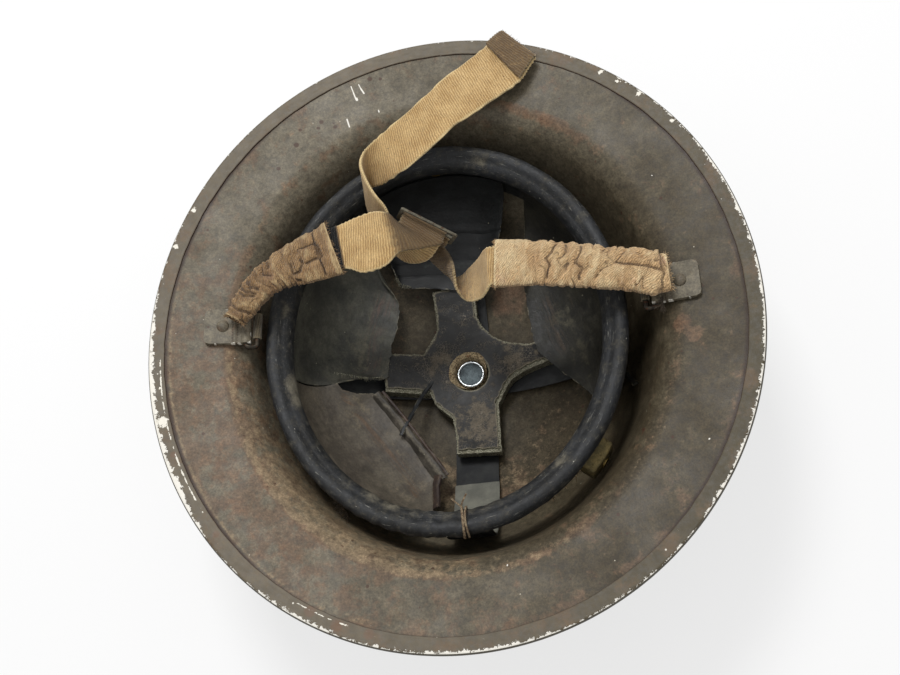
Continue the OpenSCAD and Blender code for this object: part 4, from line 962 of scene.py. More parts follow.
def make_shell():
    turn = np.linspace(0, 360, SHELL_TURNS, endpoint=False)
    stations = shell_stations(turn)
    flat = skin(stations, turn, 0)
    dent = 0.3 * lumps(flat, 34, 1) + 0.1 * lumps(flat, 11, 2)
    dent *= smooth_step(stations[..., 0], 12, 40) * smooth_step(RIM_HEIGHT - flat[..., 2], 0.5, 3)
    outer, inner = skin(stations, turn, dent), skin(stations, turn, dent + SHELL_WALL)
    rows = np.concatenate([outer, inner[::-1]])
    half = len(outer)
    faces = grid_faces(2 * half, SHELL_TURNS, wrap_rows=True, wrap_columns=True)
    rim_r = oval_radius(RIM_WIDTH / 2, RIM_LENGTH / 2, turn)
    from_rim = (rim_r - stations[..., 0]) / cosd(BRIM_SLOPE)
    slope = stations[..., 2]
    patchy = 0.45 + 0.9 * np.abs(lumps(flat, 14, 3))
    ridge = smooth_step(slope, 17, 23) * smooth_step(slope, 40, 27) * patchy
    lit_side = 0.5 - 0.5 * cosd(turn - 50)
    front_left = smooth_step(np.abs((turn - 215 + 180) % 360 - 180), 60, 35)
    beside_band = np.exp(-((from_rim - 8.4) / 0.9) ** 2) * front_left
    rust = np.interp(turn, RUST_TURNS, RUST_SHARE) * smooth_step(flat[..., 2], 40, 95)
    rust = np.maximum(rust, 0.9 * smooth_step(from_rim, 16, 7) * (0.4 + 0.6 * lit_side))
    flare_top = 1.2 * smooth_step(slope, 13.5, 19) * smooth_step(slope, 45, 25)
    flare_top *= np.exp(-((turn - 62) / 14) ** 2)
    # Painted light: the wall and flare at the front left made paler.
    painted_light_wall = smooth_step(slope, 20, 40) * smooth_step(flat[..., 2], 40, 62)
    painted_light_wall *= np.exp(-((turn - 238) / 42) ** 2)
    near_lug = spots(flat, [((108, -13, 101), 5), ((113, -20, 102), 4)])
    seam = smooth_step(np.abs(from_rim - BAND_LEG - 0.2), 0.5, 0.1)
    painted_shade = np.repeat(np.interp(turn, PAINTED_SHADE_TURNS, PAINTED_SHADE_SHARE)[None], half, 0)
    blank = 0 * seam
    within = {
        # Painted shade, also darker below 60 mm, deep in the bowl.
        "painted_shade": np.maximum(painted_shade, 0.75 * smooth_step(flat[..., 2], 60, 25)),
        "rust": rust + flare_top + 1.5 * near_lug + 1.3 * ridge * lit_side,
        # Rubbing beside the band, a painted highlight on the flare ridge of the lit side, and painted light on
        # the front left wall.
        "rub_and_highlight": np.maximum(1.3 * ridge * lit_side ** 1.5, 1.1 * beside_band) + 1.0 * painted_light_wall,
        "seam": seam,
        "white": blank,
    }
    without = {"painted_shade": painted_shade, "rust": rust, "rub_and_highlight": smooth_step(stations[..., 1], 26, 2), "seam": blank,
               "white": blank}
    marks = {key: np.concatenate([without[key], within[key][::-1]]) for key in within}
    outside_faces = (half - 1) * SHELL_TURNS
    rim_faces = (2 * half - 1) * SHELL_TURNS
    material = [int(i < outside_faces or i >= rim_faces) for i in range(len(faces))]
    return add_piece("painted_shell", rows, faces, [PAINT, OUTSIDE], "helmet_paint", stands_for=["shell"],
                     marks=marks, face_materials=material)


def make_rim_strip(turns=900):
    """Folded steel strip: its leg inside the brim, its fold round the edge and its leg outside."""
    turn = np.linspace(0, 360, turns, endpoint=False)
    mid = SHELL_WALL / 2 + SEAT_GAP
    out = mid + BAND_WALL
    leg = [(BAND_LEG, mid), (BAND_LEG - 0.15, out - 0.12), (BAND_LEG - 0.5, out)]
    leg += [(into, out) for into in np.arange(5.7, 0.2, -0.35)]
    bend = [(out * cosd(a), out * sind(a)) for a in np.linspace(90, 270, 15)]
    under = [(1.0, -out), (2.5, -out), (4.5, -out), (BAND_LEG, -out), (BAND_LEG, -mid)]
    hollow = [(mid * cosd(a) - SEAT_GAP, mid * sind(a)) for a in np.linspace(270, 90, 7)]
    section = np.array(leg + bend + under + hollow)
    inset = out + section[:, 0] * cosd(BRIM_SLOPE) + section[:, 1] * sind(BRIM_SLOPE)
    top_half = np.arange(len(section)) < len(leg) + 9
    inset = np.where(top_half, inset, 0.0)
    seam_mark = np.array([1.0, 0.8, 0.2] + [0] * (len(section) - 3))
    rim_r = oval_radius(RIM_WIDTH / 2, RIM_LENGTH / 2, turn)
    edge_r = rim_r - SHELL_WALL / 2 * sind(BRIM_SLOPE)
    edge_z = RIM_HEIGHT + SHELL_WALL / 2 * cosd(BRIM_SLOPE)
    ring = np.column_stack([edge_r * cosd(turn), edge_r * sind(turn), 0 * turn])
    waver = 0.22 * lumps(ring, 9, 3) + 0.1 * lumps(ring, 2.5, 4)
    rows = []
    for k, (into, up) in enumerate(section):
        into = into + waver * (k < 4)
        up = up + 0.07 * lumps(ring + [0, 0, 1.3 * k], 5, 5)
        r = edge_r - into * cosd(BRIM_SLOPE) - up * sind(BRIM_SLOPE)
        z = edge_z - into * sind(BRIM_SLOPE) + up * cosd(BRIM_SLOPE)
        rows.append(np.column_stack([r * cosd(turn), r * sind(turn), z]))
    rows = np.array(rows)
    plan = rows * [1, 1, 0]
    strip = np.interp(turn, WORN_TURNS, WORN_WIDTH) * (1 + 0.35 * lumps(ring, 12, 6))
    along = (len(section), 1)
    streaks = top_half * np.exp(-((inset - 6.0) / 0.5) ** 2)
    marks = {
        "inset": np.repeat(inset[:, None], turns, 1),
        "strip": np.tile(strip, along),
        "inner": np.interp(turn, INNER_TURNS, INNER_SHARE) * streaks[:, None],
        "chip": spots(plan, rim_places(RIM_CHIPS), 0.8) * top_half[:, None],
        "stain": spots(plan, rim_places(RIM_STAINS)) * top_half[:, None],
        "seam": np.repeat(seam_mark[:, None], turns, 1),
        # Painted shade round the rim band, as on the brim.
        "painted_shade": np.tile(np.interp(turn, PAINTED_SHADE_TURNS, PAINTED_SHADE_SHARE), along),
    }
    faces = grid_faces(len(section), turns, wrap_rows=True, wrap_columns=True)
    return add_piece("rim_strip", rows, faces, BAND, "helmet_paint", stands_for=["rim_band"], marks=marks)


# Lugs and rivets

LUG_SEAT = SHELL_WALL + 2.5 * SEAT_GAP
KNUCKLE_R = WIRE_D / 2 + 0.1 + LUG_SHEET


def lug_axes(side):
    """Origin on the brim's outer skin and the axes of a lug: X outward, Y back, Z up; side is 1 or -1."""
    away = math.hypot(LUG_X, LUG_Y)
    rim_r = oval_radius(RIM_WIDTH / 2, RIM_LENGTH / 2, math.degrees(math.atan2(LUG_Y, LUG_X)))
    height = RIM_HEIGHT - (rim_r - away) * math.tan(math.radians(BRIM_SLOPE))
    origin = np.array([side * LUG_X, LUG_Y, height])
    x = np.array([side * cosd(BRIM_SLOPE), 0, sind(BRIM_SLOPE)])
    z = np.array([-side * sind(BRIM_SLOPE), 0, cosd(BRIM_SLOPE)])
    return origin, x, np.array([0.0, 1.0, 0.0]), z


def make_lug(side, name, node):
    """Folded plate: flat round the rivet, with pressed ridges towards the knuckle."""
    origin, x, y, z = lug_axes(side)
    half = LUG_WIDTH / 2
    inner = -LUG_REACH - KNUCKLE_R + 0.3
    outline = [(inner, -half), (LUG_TAIL - 2.5, -half), (LUG_TAIL - 0.7, -half + 0.7), (LUG_TAIL, -half + 2.5),
               (LUG_TAIL, half - 2.5), (LUG_TAIL - 0.7, half - 0.7), (LUG_TAIL - 2.5, half), (inner, half)]
    top_z = LUG_SEAT + 2 * LUG_SHEET

    def place(flat, height):
        return origin + flat[:, :1] * x + flat[:, 1:] * y + height[:, None] * z

    def top(flat):
        ridge = 0.55 * np.exp(-((flat[:, 0] + 6.1) / 0.7) ** 2) + 0.4 * np.exp(-((flat[:, 0] + 8.4) / 0.6) ** 2)
        knuckle = np.sqrt(np.maximum(0.05, KNUCKLE_R ** 2 - (flat[:, 0] + LUG_REACH) ** 2))
        height = np.where(flat[:, 0] < -LUG_REACH + 2.2, LUG_SEAT + LUG_SHEET + knuckle, top_z)
        bow = 0.12 * lumps(raised(flat), 6, 7 + side)
        return place(flat, np.maximum(height, top_z * (flat[:, 0] > -LUG_REACH)) + ridge + bow)

    def bottom(flat):
        return place(flat, np.full(len(flat), LUG_SEAT))

    verts, faces, flat, distance = slab_of(dense(outline, 0.8), top, bottom, 0.8)
    chipped = smooth_step(distance, 0.9, 0.0) * (0.5 + 0.9 * lumps(np.column_stack([flat, flat[:, :1]]), 3, 9))
    groove = np.exp(-((flat[:, 0] + 7.3) / 0.35) ** 2) + np.exp(-((flat[:, 0] + 4.9) / 0.3) ** 2)
    marks = {"rust": 0.3 + 0 * distance, "rub_and_highlight": 0 * distance, "seam": 0.8 * groove, "white": 0.55 * chipped}
    piece = add_piece(name, verts, faces, PAINT, "helmet_paint", stands_for=[node], marks=marks)
    soften_edges(piece)
    return piece


def make_lug_rivets():
    dome_r, top = 3.0, LUG_SEAT + 2 * LUG_SHEET + SEAT_GAP
    parts = []
    for side in (-1, 1):
        origin, x, y, z = lug_axes(side)
        head = [(dome_r * cosd(a) if a < 90 else 0.001, top + 1.6 * sind(a)) for a in range(0, 91, 9)]
        profile = [(0.001, -1.7), (2.6, -1.7), (2.95, -1.4), (2.95, -0.95), (2, -0.95), (2, top), (dome_r, top)]
        parts.append(lathe(profile + head, origin, (x, y, z)))
    verts, faces = joined(parts)
    ones = np.ones(len(verts))
    marks = {"rust": 0.6 * ones, "rub_and_highlight": 0.2 * ones, "seam": 0.25 * ones, "white": 0 * ones}
    return add_piece("painted_lug_rivets", verts, faces, PAINT, "helmet_paint", stands_for=["lug_rivets"],
                     marks=marks, weld=True)


def make_strap_tab(side, name, node, body):
    """Cloth eye of the strap round the wire loop's inner bar."""
    origin, x, y, z = lug_axes(side)
    knuckle = origin - LUG_REACH * x + (LUG_SEAT + LUG_SHEET) * z
    droop = np.array([-side * cosd(WIRE_DROOP), 0, -sind(WIRE_DROOP)])
    middle = knuckle + WIRE_REACH * droop
    inner, outer = WIRE_D / 2 + 0.1, WIRE_D / 2 + 0.8
    profile = [(inner, -TAB_WIDTH / 2), (outer, -TAB_WIDTH / 2)]
    profile += [(outer, h) for h in np.linspace(-TAB_WIDTH / 2, TAB_WIDTH / 2, 24)[1:-1]]
    profile += [(outer, TAB_WIDTH / 2), (inner, TAB_WIDTH / 2), (inner, -TAB_WIDTH / 2)]
    verts, faces = lathe(profile, middle, (np.cross(y, droop), droop, y))
    around = np.tile(np.linspace(0, 2 * math.pi * outer, 48), len(profile))
    across = np.repeat([p[1] for p in profile], 48)
    marks = {"along": around, "across": across, "edge": TAB_WIDTH / 2 - np.abs(across),
             "grime_and_shade": 0.3 + 0 * across}
    return add_piece(name, verts, faces, PAINTED_TAB, "webbing", body, [node], marks, weld=True)


# Liner: headband, lining, roll

def headband_point(turn, grow, z):
    """Point of an oval round the headband, grown outward from the lining's inner face."""
    half = LINING_HALF + grow
    return LINER_MID + np.stack([half[0] * cosd(turn), half[1] * sind(turn), z + 0 * turn], -1)


def make_oval_wall(name, node, inner, outer, material, slot, sway=0.0, turns=300):
    """Upright oval band between two distances from the lining's inner face; sway ripples its inner face."""
    turn = np.linspace(0, 360, turns, endpoint=False)
    heights = np.linspace(HEADBAND_LOW, HEADBAND_TOP, 12)
    rows, edge = [], []
    for grow, order, ripple in ((inner, heights, sway), (outer, heights[::-1], 0.0)):
        for z in order:
            face = headband_point(turn, grow, z)
            share = math.sin(math.pi * (z - HEADBAND_LOW) / (HEADBAND_TOP - HEADBAND_LOW))
            push = ripple * share * np.abs(lumps(face, (14, 14, 9), 11))
            rows.append(face + np.stack([push * cosd(turn), push * sind(turn), 0 * turn], -1))
            edge.append(np.full(turns, min(z - HEADBAND_LOW, HEADBAND_TOP - z) + 0.6))
    rows = np.array(rows)
    marks = {"edge": np.array(edge), "fade_and_highlight": 0.3 * lumps(rows, 20, 12)}
    faces = grid_faces(len(rows), turns, wrap_rows=True, wrap_columns=True)
    return add_piece(name, rows, faces, material, slot, stands_for=[node], marks=marks)


# Section of the roll: [outward, up from the headband's top]
ROLL_SECTION = [(0, 0), (3.5, 0.2), (5.4, 2), (6.1, 5), (5.9, 7.8), (4.6, 10.2), (2.4, 11.2), (0.2, 10.6),
                (-1.3, 9.3), (-2.2, 8.5), (-3.6, 7.6), (-5.1, 6), (-6, 3.6), (-6.2, 1.2), (-5.2, 0.1)]
# Where it is rubbed grey
ROLL_WEAR = [((-78, -21, 86), 5), ((-74, -28, 87), 5), ((-69, -38, 87), 4), ((-62, -47, 88), 5),
             ((-56, -54, 88), 5), ((-51, -60, 88), 5), ((-45, -67, 89), 5), ((-38, -76, 89), 5),
             ((-30, -82, 89), 4), ((-84, 18, 90), 3), ((20, 92, 90), 4), ((70, 50, 90), 3),
             ((82, -20, 88), 3), ((50, -72, 89), 4)]


def make_roll(turns=560):
    """Padded roll: a bead along its outer side, a groove, and a soft slope into the bowl."""
    turn = np.linspace(0, 360, turns, endpoint=False)
    centre_grow = (LINING_SHEET + HEADBAND_SHEET + SEAT_GAP) / 2
    half = LINING_HALF + centre_grow
    middle = headband_point(turn, centre_grow, HEADBAND_TOP + SEAT_GAP)
    out = unit(np.stack([half[1] * cosd(turn), half[0] * sind(turn), 0 * turn], -1))
    count = len(ROLL_SECTION)
    looped = ROLL_SECTION[-1:] + ROLL_SECTION + ROLL_SECTION[:2]
    section = spline(looped, 4)[4:4 + 4 * count]
    ahead = headings(section, closed=True)
    around = np.concatenate([[0], np.cumsum(np.linalg.norm(np.diff(section, axis=0), axis=1))])
    front = np.exp(-((turn - 262) / 26) ** 2)
    length = np.radians(turn) * half.mean()
    rows = []
    for k, (away, up) in enumerate(section):
        normal = out * ahead[k, 1] + np.array([0, 0, -ahead[k, 0]])
        flat = middle + out * away + [0, 0, up]
        wrap = np.column_stack([turn / 5.5, np.full(turns, around[k] / 9), 0 * turn])
        tight = np.column_stack([turn / 2.4, np.full(turns, around[k] / 7), 0 * turn])
        swell = 0.3 * lumps(flat, (22, 22, 7), 21) + 0.18 * lumps(wrap, 1.0, 22) + 0.1 * lumps(flat, 3, 24)
        swell += 0.9 * front * lumps(tight, 1.0, 23)
        low = smooth_step(up, 0.2, 1.5)
        rows.append(flat + normal * (np.minimum(swell, 0.45) * low)[:, None])
    rows = np.array(rows)
    slope_side = smooth_step(section[:, 0], -0.5, -3.0)[:, None]
    fade_and_highlight = 0.25 + spots(rows, ROLL_WEAR, 0.8) * (0.35 + 0.95 * slope_side) + 0.3 * front[None] * slope_side
    marks = {"fade_and_highlight": fade_and_highlight, "turn": np.tile(length, (len(section), 1)),
             "around": np.repeat(around[:, None], turns, 1)}
    faces = grid_faces(len(section), turns, wrap_rows=True, wrap_columns=True)
    piece = add_piece("padded_roll", rows, faces, ROLL, "oilcloth", stands_for=["headband_roll"], marks=marks,
                      sharp=80)
    return piece


def grown(outline, amount):
    """The closed anticlockwise outline, moved outward by amount."""
    out = unit(np.roll(outline, -1, 0) - np.roll(outline, 1, 0))[:, ::-1] * [1, -1]
    return outline + out * np.broadcast_to(amount, (len(outline),))[:, None]


# Frame straps and crown pad

def arm_reach(i):
    turn = FRAME_TURNS[i]
    grow = LINING_SHEET + HEADBAND_SHEET + 2 * SEAT_GAP + FRAME_SHEET / 2
    p = headband_point(np.array(turn), grow, 0.0)
    return math.hypot(p[0], p[1])


def arm_rise(i, s):
    """Height above a strap's flat middle at a distance s along arm i."""
    share = np.clip((np.asarray(s, float) - FRAME_FLAT) / (arm_reach(i) - FRAME_FLAT), 0, 1) ** FRAME_CURL
    return (FRAME_BEND_Z - LONG_LOW) * (1 - (1 - share) ** (1 / FRAME_CURL))


def strap_line(i, low, steps=44):
    """Middle line over arms i and i + 2: [distance, height]."""
    halves = []
    for arm in (i, i + 2):
        reach = arm_reach(arm)
        s = FRAME_FLAT + (reach - FRAME_FLAT) * np.sin(np.pi / 2 * np.linspace(1, 0, steps)[1:])
        upright = [(reach, HEADBAND_TOP - 0.4 - 5.2 * k) for k in range(4)] + [(reach, FRAME_BEND_Z)]
        curve = [(d, low + FRAME_SHEET / 2 + h) for d, h in zip(s, arm_rise(arm, s))]
        halves.append(upright + curve)
    return np.array(halves[0] + [(-d, h) for d, h in reversed(halves[1])])


def strip_along(line, turn, shift, width, sheet, columns=16, sag=0.0):
    """Rings of a strip of that width along a line of [distance, height], turned about the crown."""
    path = np.column_stack([line[:, 0], np.full(len(line), 0.0), line[:, 1]])
    ahead = headings(path)
    lift = np.column_stack([-ahead[:, 2], 0 * ahead[:, 0], ahead[:, 0]])
    across = np.linspace(-width / 2, width / 2, columns)
    top, bottom = [], []
    for y in across:
        wave = sag * lumps(path + [0, y * 3, 0], 12, 31)[:, None]
        edge = 1 if abs(y) < width / 2 - 0.01 else 0.55
        top.append(path + [0, y + shift, 0] + lift * (edge * sheet / 2 + wave))
        bottom.append(path + [0, y + shift, 0] + lift * (-edge * sheet / 2 + wave))
    rings = np.concatenate([np.array(top), np.array(bottom)[::-1]]).transpose(1, 0, 2)
    c, s = cosd(turn), sind(turn)
    turned = rings @ np.array([[c, s, 0], [-s, c, 0], [0, 0, 1]])
    distance = np.concatenate([width / 2 - np.abs(across)] * 2)
    return turned, np.repeat(distance[None], len(line), 0)


def make_frame_strap(i, low, name, node, shift):
    rings, edge = strip_along(strap_line(i, low), FRAME_TURNS[i], shift, FRAME_WIDTH, FRAME_SHEET, sag=0.15)
    faces = strip_faces(*rings.shape[:2])
    return add_piece(name, rings, faces, STRAP, "fibre", stands_for=[node],
                     marks={"edge": edge, "fade_and_highlight": 0 * edge})


def make_strap_patch():
    """Grey cloth sewn over the long strap's front end."""
    reach = arm_reach(3)
    s = np.linspace(reach - 0.6, 64, 40)
    line = np.column_stack([-s, LONG_LOW + FRAME_SHEET + 0.5 + arm_rise(3, s)])
    rings, edge = strip_along(line, FRAME_TURNS[1], 0.05, FRAME_WIDTH + 0.5, 0.7, sag=0.3)
    return add_piece("strap_end_patch", rings, strip_faces(*rings.shape[:2]), PATCH, "fibre",
                     marks={"edge": edge, "fade_and_highlight": 0 * edge})


# Outline of the crown pad, from the front arm's left corner anticlockwise
PAD_OUTLINE = [(-8.4, -47.5), (15.6, -48.3), (15.2, -33), (14.8, -19.5), (19.8, -10.4), (22.8, -6.6),
               (29.5, -3.2), (37.3, -1.2), (46.8, -0.2), (47.2, 11.8), (33, 12.2), (20.4, 16.2), (13.2, 20.8),
               (8.6, 26), (5.8, 31.8), (5.6, 49.6), (-18.4, 47.5), (-17.6, 35), (-17.4, 26.5), (-20.6, 21.5),
               (-25.8, 12.8), (-36, 12.9),
               (-46.8, 12.8), (-46.4, -9.4), (-34, -10.2), (-22.6, -10.8), (-20.2, -17),
               (-10.6, -26.2), (-8.9, -36)]


def pad_height(flat, low):
    """Height of a layer of the pad at flat points, on the straps' rise."""
    x, y = flat[:, 0], flat[:, 1]
    along_x, along_y = np.abs(x), np.abs(y)
    rise_x = np.where(x > 0, arm_rise(0, along_x), arm_rise(2, along_x)) + PAD_LIFT * along_x / PAD_REACH
    rise_y = np.where(y > 0, arm_rise(1, along_y), arm_rise(3, along_y)) + PAD_LIFT * along_y / PAD_REACH
    return low + np.maximum(rise_x, rise_y)


def circle(radius, count=48):
    a = np.linspace(0, 360, count, endpoint=False)
    return np.column_stack([radius * cosd(a), radius * sind(a)])


def make_pad():
    low, high = PAD_LOW + 0.05, PAD_LOW + PAD_FELT

    def felt_top(flat):
        swell = 0.3 * lumps(raised(flat), 9, 41) + 0.2 * lumps(raised(flat), 3, 42)
        return np.column_stack([flat, pad_height(flat, high) + swell])

    def felt_bottom(flat):
        return np.column_stack([flat, pad_height(flat, low)])

    outline = ragged(PAD_OUTLINE, 0.7, 0.35, 2.0, 43)
    verts, faces, flat, distance = slab_of(outline, felt_top, felt_bottom, 1.2, [circle(PAD_HOLE_R)])
    felt_piece = add_piece("felt_pad", verts, faces, FELT, "felt", stands_for=["crown_pad"],
                           marks={"edge": distance})

    torn = dense(PAD_OUTLINE, 0.6)
    out = unit(np.roll(torn, -1, 0) - np.roll(torn, 1, 0))[:, ::-1] * [1, -1]
    facing = np.clip(out @ [0.35, -0.94], 0, 1)
    nibbled = 0.7 * lumps(raised(torn), 2.6, 44) + 0.35 * lumps(raised(torn), 0.9, 47)
    torn = grown(torn, -0.9 - 1.5 * facing + nibbled)

    def cover_top(flat):
        swell = 0.3 * lumps(raised(flat), 9, 41) + 0.25 * lumps(raised(flat), 4, 45)
        return np.column_stack([flat, pad_height(flat, high + 0.35 + PAD_COVER) + swell])

    def cover_bottom(flat):
        swell = 0.3 * lumps(raised(flat), 9, 41) + 0.2 * lumps(raised(flat), 3, 42)
        return np.column_stack([flat, pad_height(flat, high + 0.15) + swell])

    hole = ragged(circle(COVER_HOLE_R), 0.7, 0.25, 2.0, 46)
    verts, faces, flat, distance = slab_of(torn, cover_top, cover_bottom, 1.0, [hole])
    fade_and_highlight = 0.9 * np.exp(-(np.linalg.norm(flat - [6, -30], axis=1) / 14) ** 2)
    fade_and_highlight += 0.8 * np.exp(-(np.linalg.norm(flat - [-16, 8], axis=1) / 9) ** 2)
    fade_and_highlight += 0.7 * np.exp(-(np.linalg.norm(flat - [28, 5], axis=1) / 12) ** 2)
    add_piece("cracked_pad_cover", verts, faces, COVER, "oilcloth", stands_for=["crown_pad_cover"],
              marks={"edge": distance, "fade_and_highlight": fade_and_highlight})


def make_nut():
    """Round nut: a bright bevelled lip round a shallow dish over the screw's end, its dark colour painted
    shade.
    """
    r, top = NUT_D / 2, NUT_LOW + NUT_H
    lip = [(2.65, NUT_LOW), (r - 0.3, NUT_LOW), (r, NUT_LOW + 0.3), (r, top - 0.8),
           (r - 0.2, top - 0.3), (r - 0.5, top - 0.05), (r - 0.9, top), (r - 1.25, top - 0.15),
           (r - 1.5, top - 0.5), (r - 1.6, top - 1.0)]
    dish = [(r - 1.7, top - 1.25), (5.2, top - 1.15), (4.0, top - 1.0), (2.4, top - 0.85), (1.1, top - 0.8),
            (0, top - 0.78), (0, top - 1.38), (2.65, top - 1.38), (2.65, NUT_LOW)]
    verts, faces = lathe(lip + dish, np.zeros(3), np.eye(3), 72)
    # The dish floor takes the screw end's dark colour, painted shade in the dish.
    material = [int(len(lip) - 1 <= i // 72 < len(lip) + 5) for i in range(len(faces))]
    return add_piece("bright_nut", verts, faces, [ZINC, SCREW_END], "bright_zinc", stands_for=["crown_nut"],
                     sharp=50, face_materials=material, weld=True)


def make_washer():
    """Swollen rusty washer under the nut; on the back left its edge has crept up over the pad."""
    crept = [(9.7, 13.0), (10.0, 16.6), (11.4, 17.5), (11.9, 18.0), (11.2, 18.4), (9.6, 18.2), (8.7, 17.4),
             (8.15, 15.0)]
    profile = [(2.65, 7.8), (9.1, 7.8), (9.6, 8.6)] + crept + [(8.0, 9.0), (2.65, 9.0), (2.65, 7.8)]
    verts, faces = lathe(profile, np.zeros(3), np.eye(3), 120)
    turn = np.degrees(np.arctan2(verts[:, 1], verts[:, 0]))
    reach = np.hypot(verts[:, 0], verts[:, 1])
    share = smooth_step(cosd(turn - 128), -0.75, 0.45)
    moved = verts[:, 2] > 9.2
    height = 9.2 + (verts[:, 2] - 9.2) * (0.55 + 0.45 * share) + 0.3 * lumps(verts, 1.6, 48)
    pull = 1 - np.maximum(reach - 8.7, 0) * (1 - share) / reach + 0.02 * lumps(verts, 2.2, 49)
    verts[:, 2] = np.where(moved, height, verts[:, 2])
    verts[:, :2] *= np.where(moved & (reach > 8.2), pull, 1.0)[:, None]
    return add_piece("swollen_washer", verts, faces, WASHER, "fibre", stands_for=["crown_washer"], weld=True)


# Creases across each sleeve's upper side: points of [mm from the lug's end, place from side to side, -1 to 1]
RIGHT_CREASES = [[(63.4, 1), (62, 0.66), (62.4, 0.27), (61.5, -0.2), (59.7, -0.8)],
                 [(52, 1), (53.4, 0.5), (56.8, 0.15), (54.4, -0.3), (54.9, -0.85)],
                 [(48.2, 0.95), (47.3, 0.5), (49.7, 0.15)], [(45.5, -0.1), (46.8, -0.6)],
                 [(41.3, 1), (40.7, 0.5), (42.1, -0.05), (39.3, -0.35), (39.7, -0.85)],
                 [(28.9, 0.95), (27.9, 0.45), (24.6, 0.15)],
                 [(19.9, 0.9), (22.4, 0.4), (24.6, 0.1), (29.8, -0.25), (31.7, -0.75)],
                 [(23.7, 0.17), (18.4, 0.12), (9.9, 0.15), (3.8, 0.05)],
                 [(17, -0.2), (15.1, -0.5), (18, -0.95)],
                 [(10.9, 0.95), (14.2, 0.7)], [(2.8, 1), (2.6, 0), (3.2, -1)]]
LEFT_CREASES = [[(16, -1), (13.4, -0.3), (15.5, 0.55)], [(13.5, -1), (11.3, -0.3), (14, 0.55)],
                [(10.5, -1), (9, -0.5)],
                [(18.5, -0.9), (17, -0.2), (19, 0.5)], [(21.5, -0.95), (21.5, -0.1), (24, 0.9)],
                [(27.5, -0.8), (25.5, -0.2), (28.5, 0.25)], [(31, -0.9), (29, -0.4)],
                [(38, -0.9), (36, -0.35), (39.5, -0.05), (43.5, -0.1), (45, -0.35)],
                [(39.5, 0.1), (40, 0.7), (43.5, 0.65), (46, 0.35), (45, 0)], [(40.5, 0.95), (42.5, 1)],
                [(34, 0), (36.5, 0.5), (38, 0.9)], [(5.5, -1), (4.5, 0), (6, 1)], [(2.2, -1), (1.8, 1)],
                [(46, -0.5), (55, -0.45), (56, 0.3), (47.5, 0.35)], [(54.7, -1), (54.5, 1)],
                [(57.5, -1), (57.3, 1)]]


def gap_to_line(points, line):
    """Distance in the plane from each point to a line of several points."""
    best = np.full(len(points), 1e9)
    for a, b in zip(line[:-1], line[1:]):
        along = b - a
        share = np.clip((points - a) @ along / (along @ along), 0, 1)
        best = np.minimum(best, np.linalg.norm(points - a - share[:, None] * along, axis=1))
    return best


# Tongues: each station is [azimuth on the headband, lower end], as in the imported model

TONGUE_TOP, TONGUE_SHEET, SOFT_GAP = 72.2, 1.0, 0.4
BACK_STATIONS = [(121, (-37, 55, 36)), (112, (-35, 50.5, 29)), (97, (-19, 48.5, 28)), (83, (-6, 46.5, 28)),
                 (74, (6, 45.5, 28.5)), (66, (15, 49, 36))]
LEFT_STATIONS = [(188, (-66, -8, 45)), (179, (-57, -4, 35)), (169, (-46, -2, 28)), (156, (-42, 16, 27.5)),
                 (143, (-38, 32, 27.5)), (134, (-38, 43, 28)), (126, (-45, 52, 38))]
FRONT_LEFT_STATIONS = [(188.7, (-68.2, -8.9, 46.5)), (195, (-65, -12, 43.5)), (203, (-57.5, -13.5, 39)),
                       (213, (-48, -15, 34)), (225, (-33.5, -33, 31)),
                       (237, (-21, -52, 29)), (246, (-17, -64, 32)), (254, (-18, -78, 41))]
RIGHT_STATIONS = [(58, (34, 46, 37)), (46, (35, 36, 31)), (30, (36, 21, 28)), (15, (39, 6, 29)),
                  (2, (48, -6, 32)), (346, (60, -20, 41)), (336, (68, -31, 50))]
TONGUE_DROP = 62.0


def streak(points, line, width):
    """1 along a line in the plan, broken up by noise and fading out over width to its sides."""
    gap = gap_to_line(points[:, :2], np.array(line, float))
    return np.exp(-(gap / width) ** 2) * smooth_step(lumps(points, 8, 66), -0.7, 0.1)


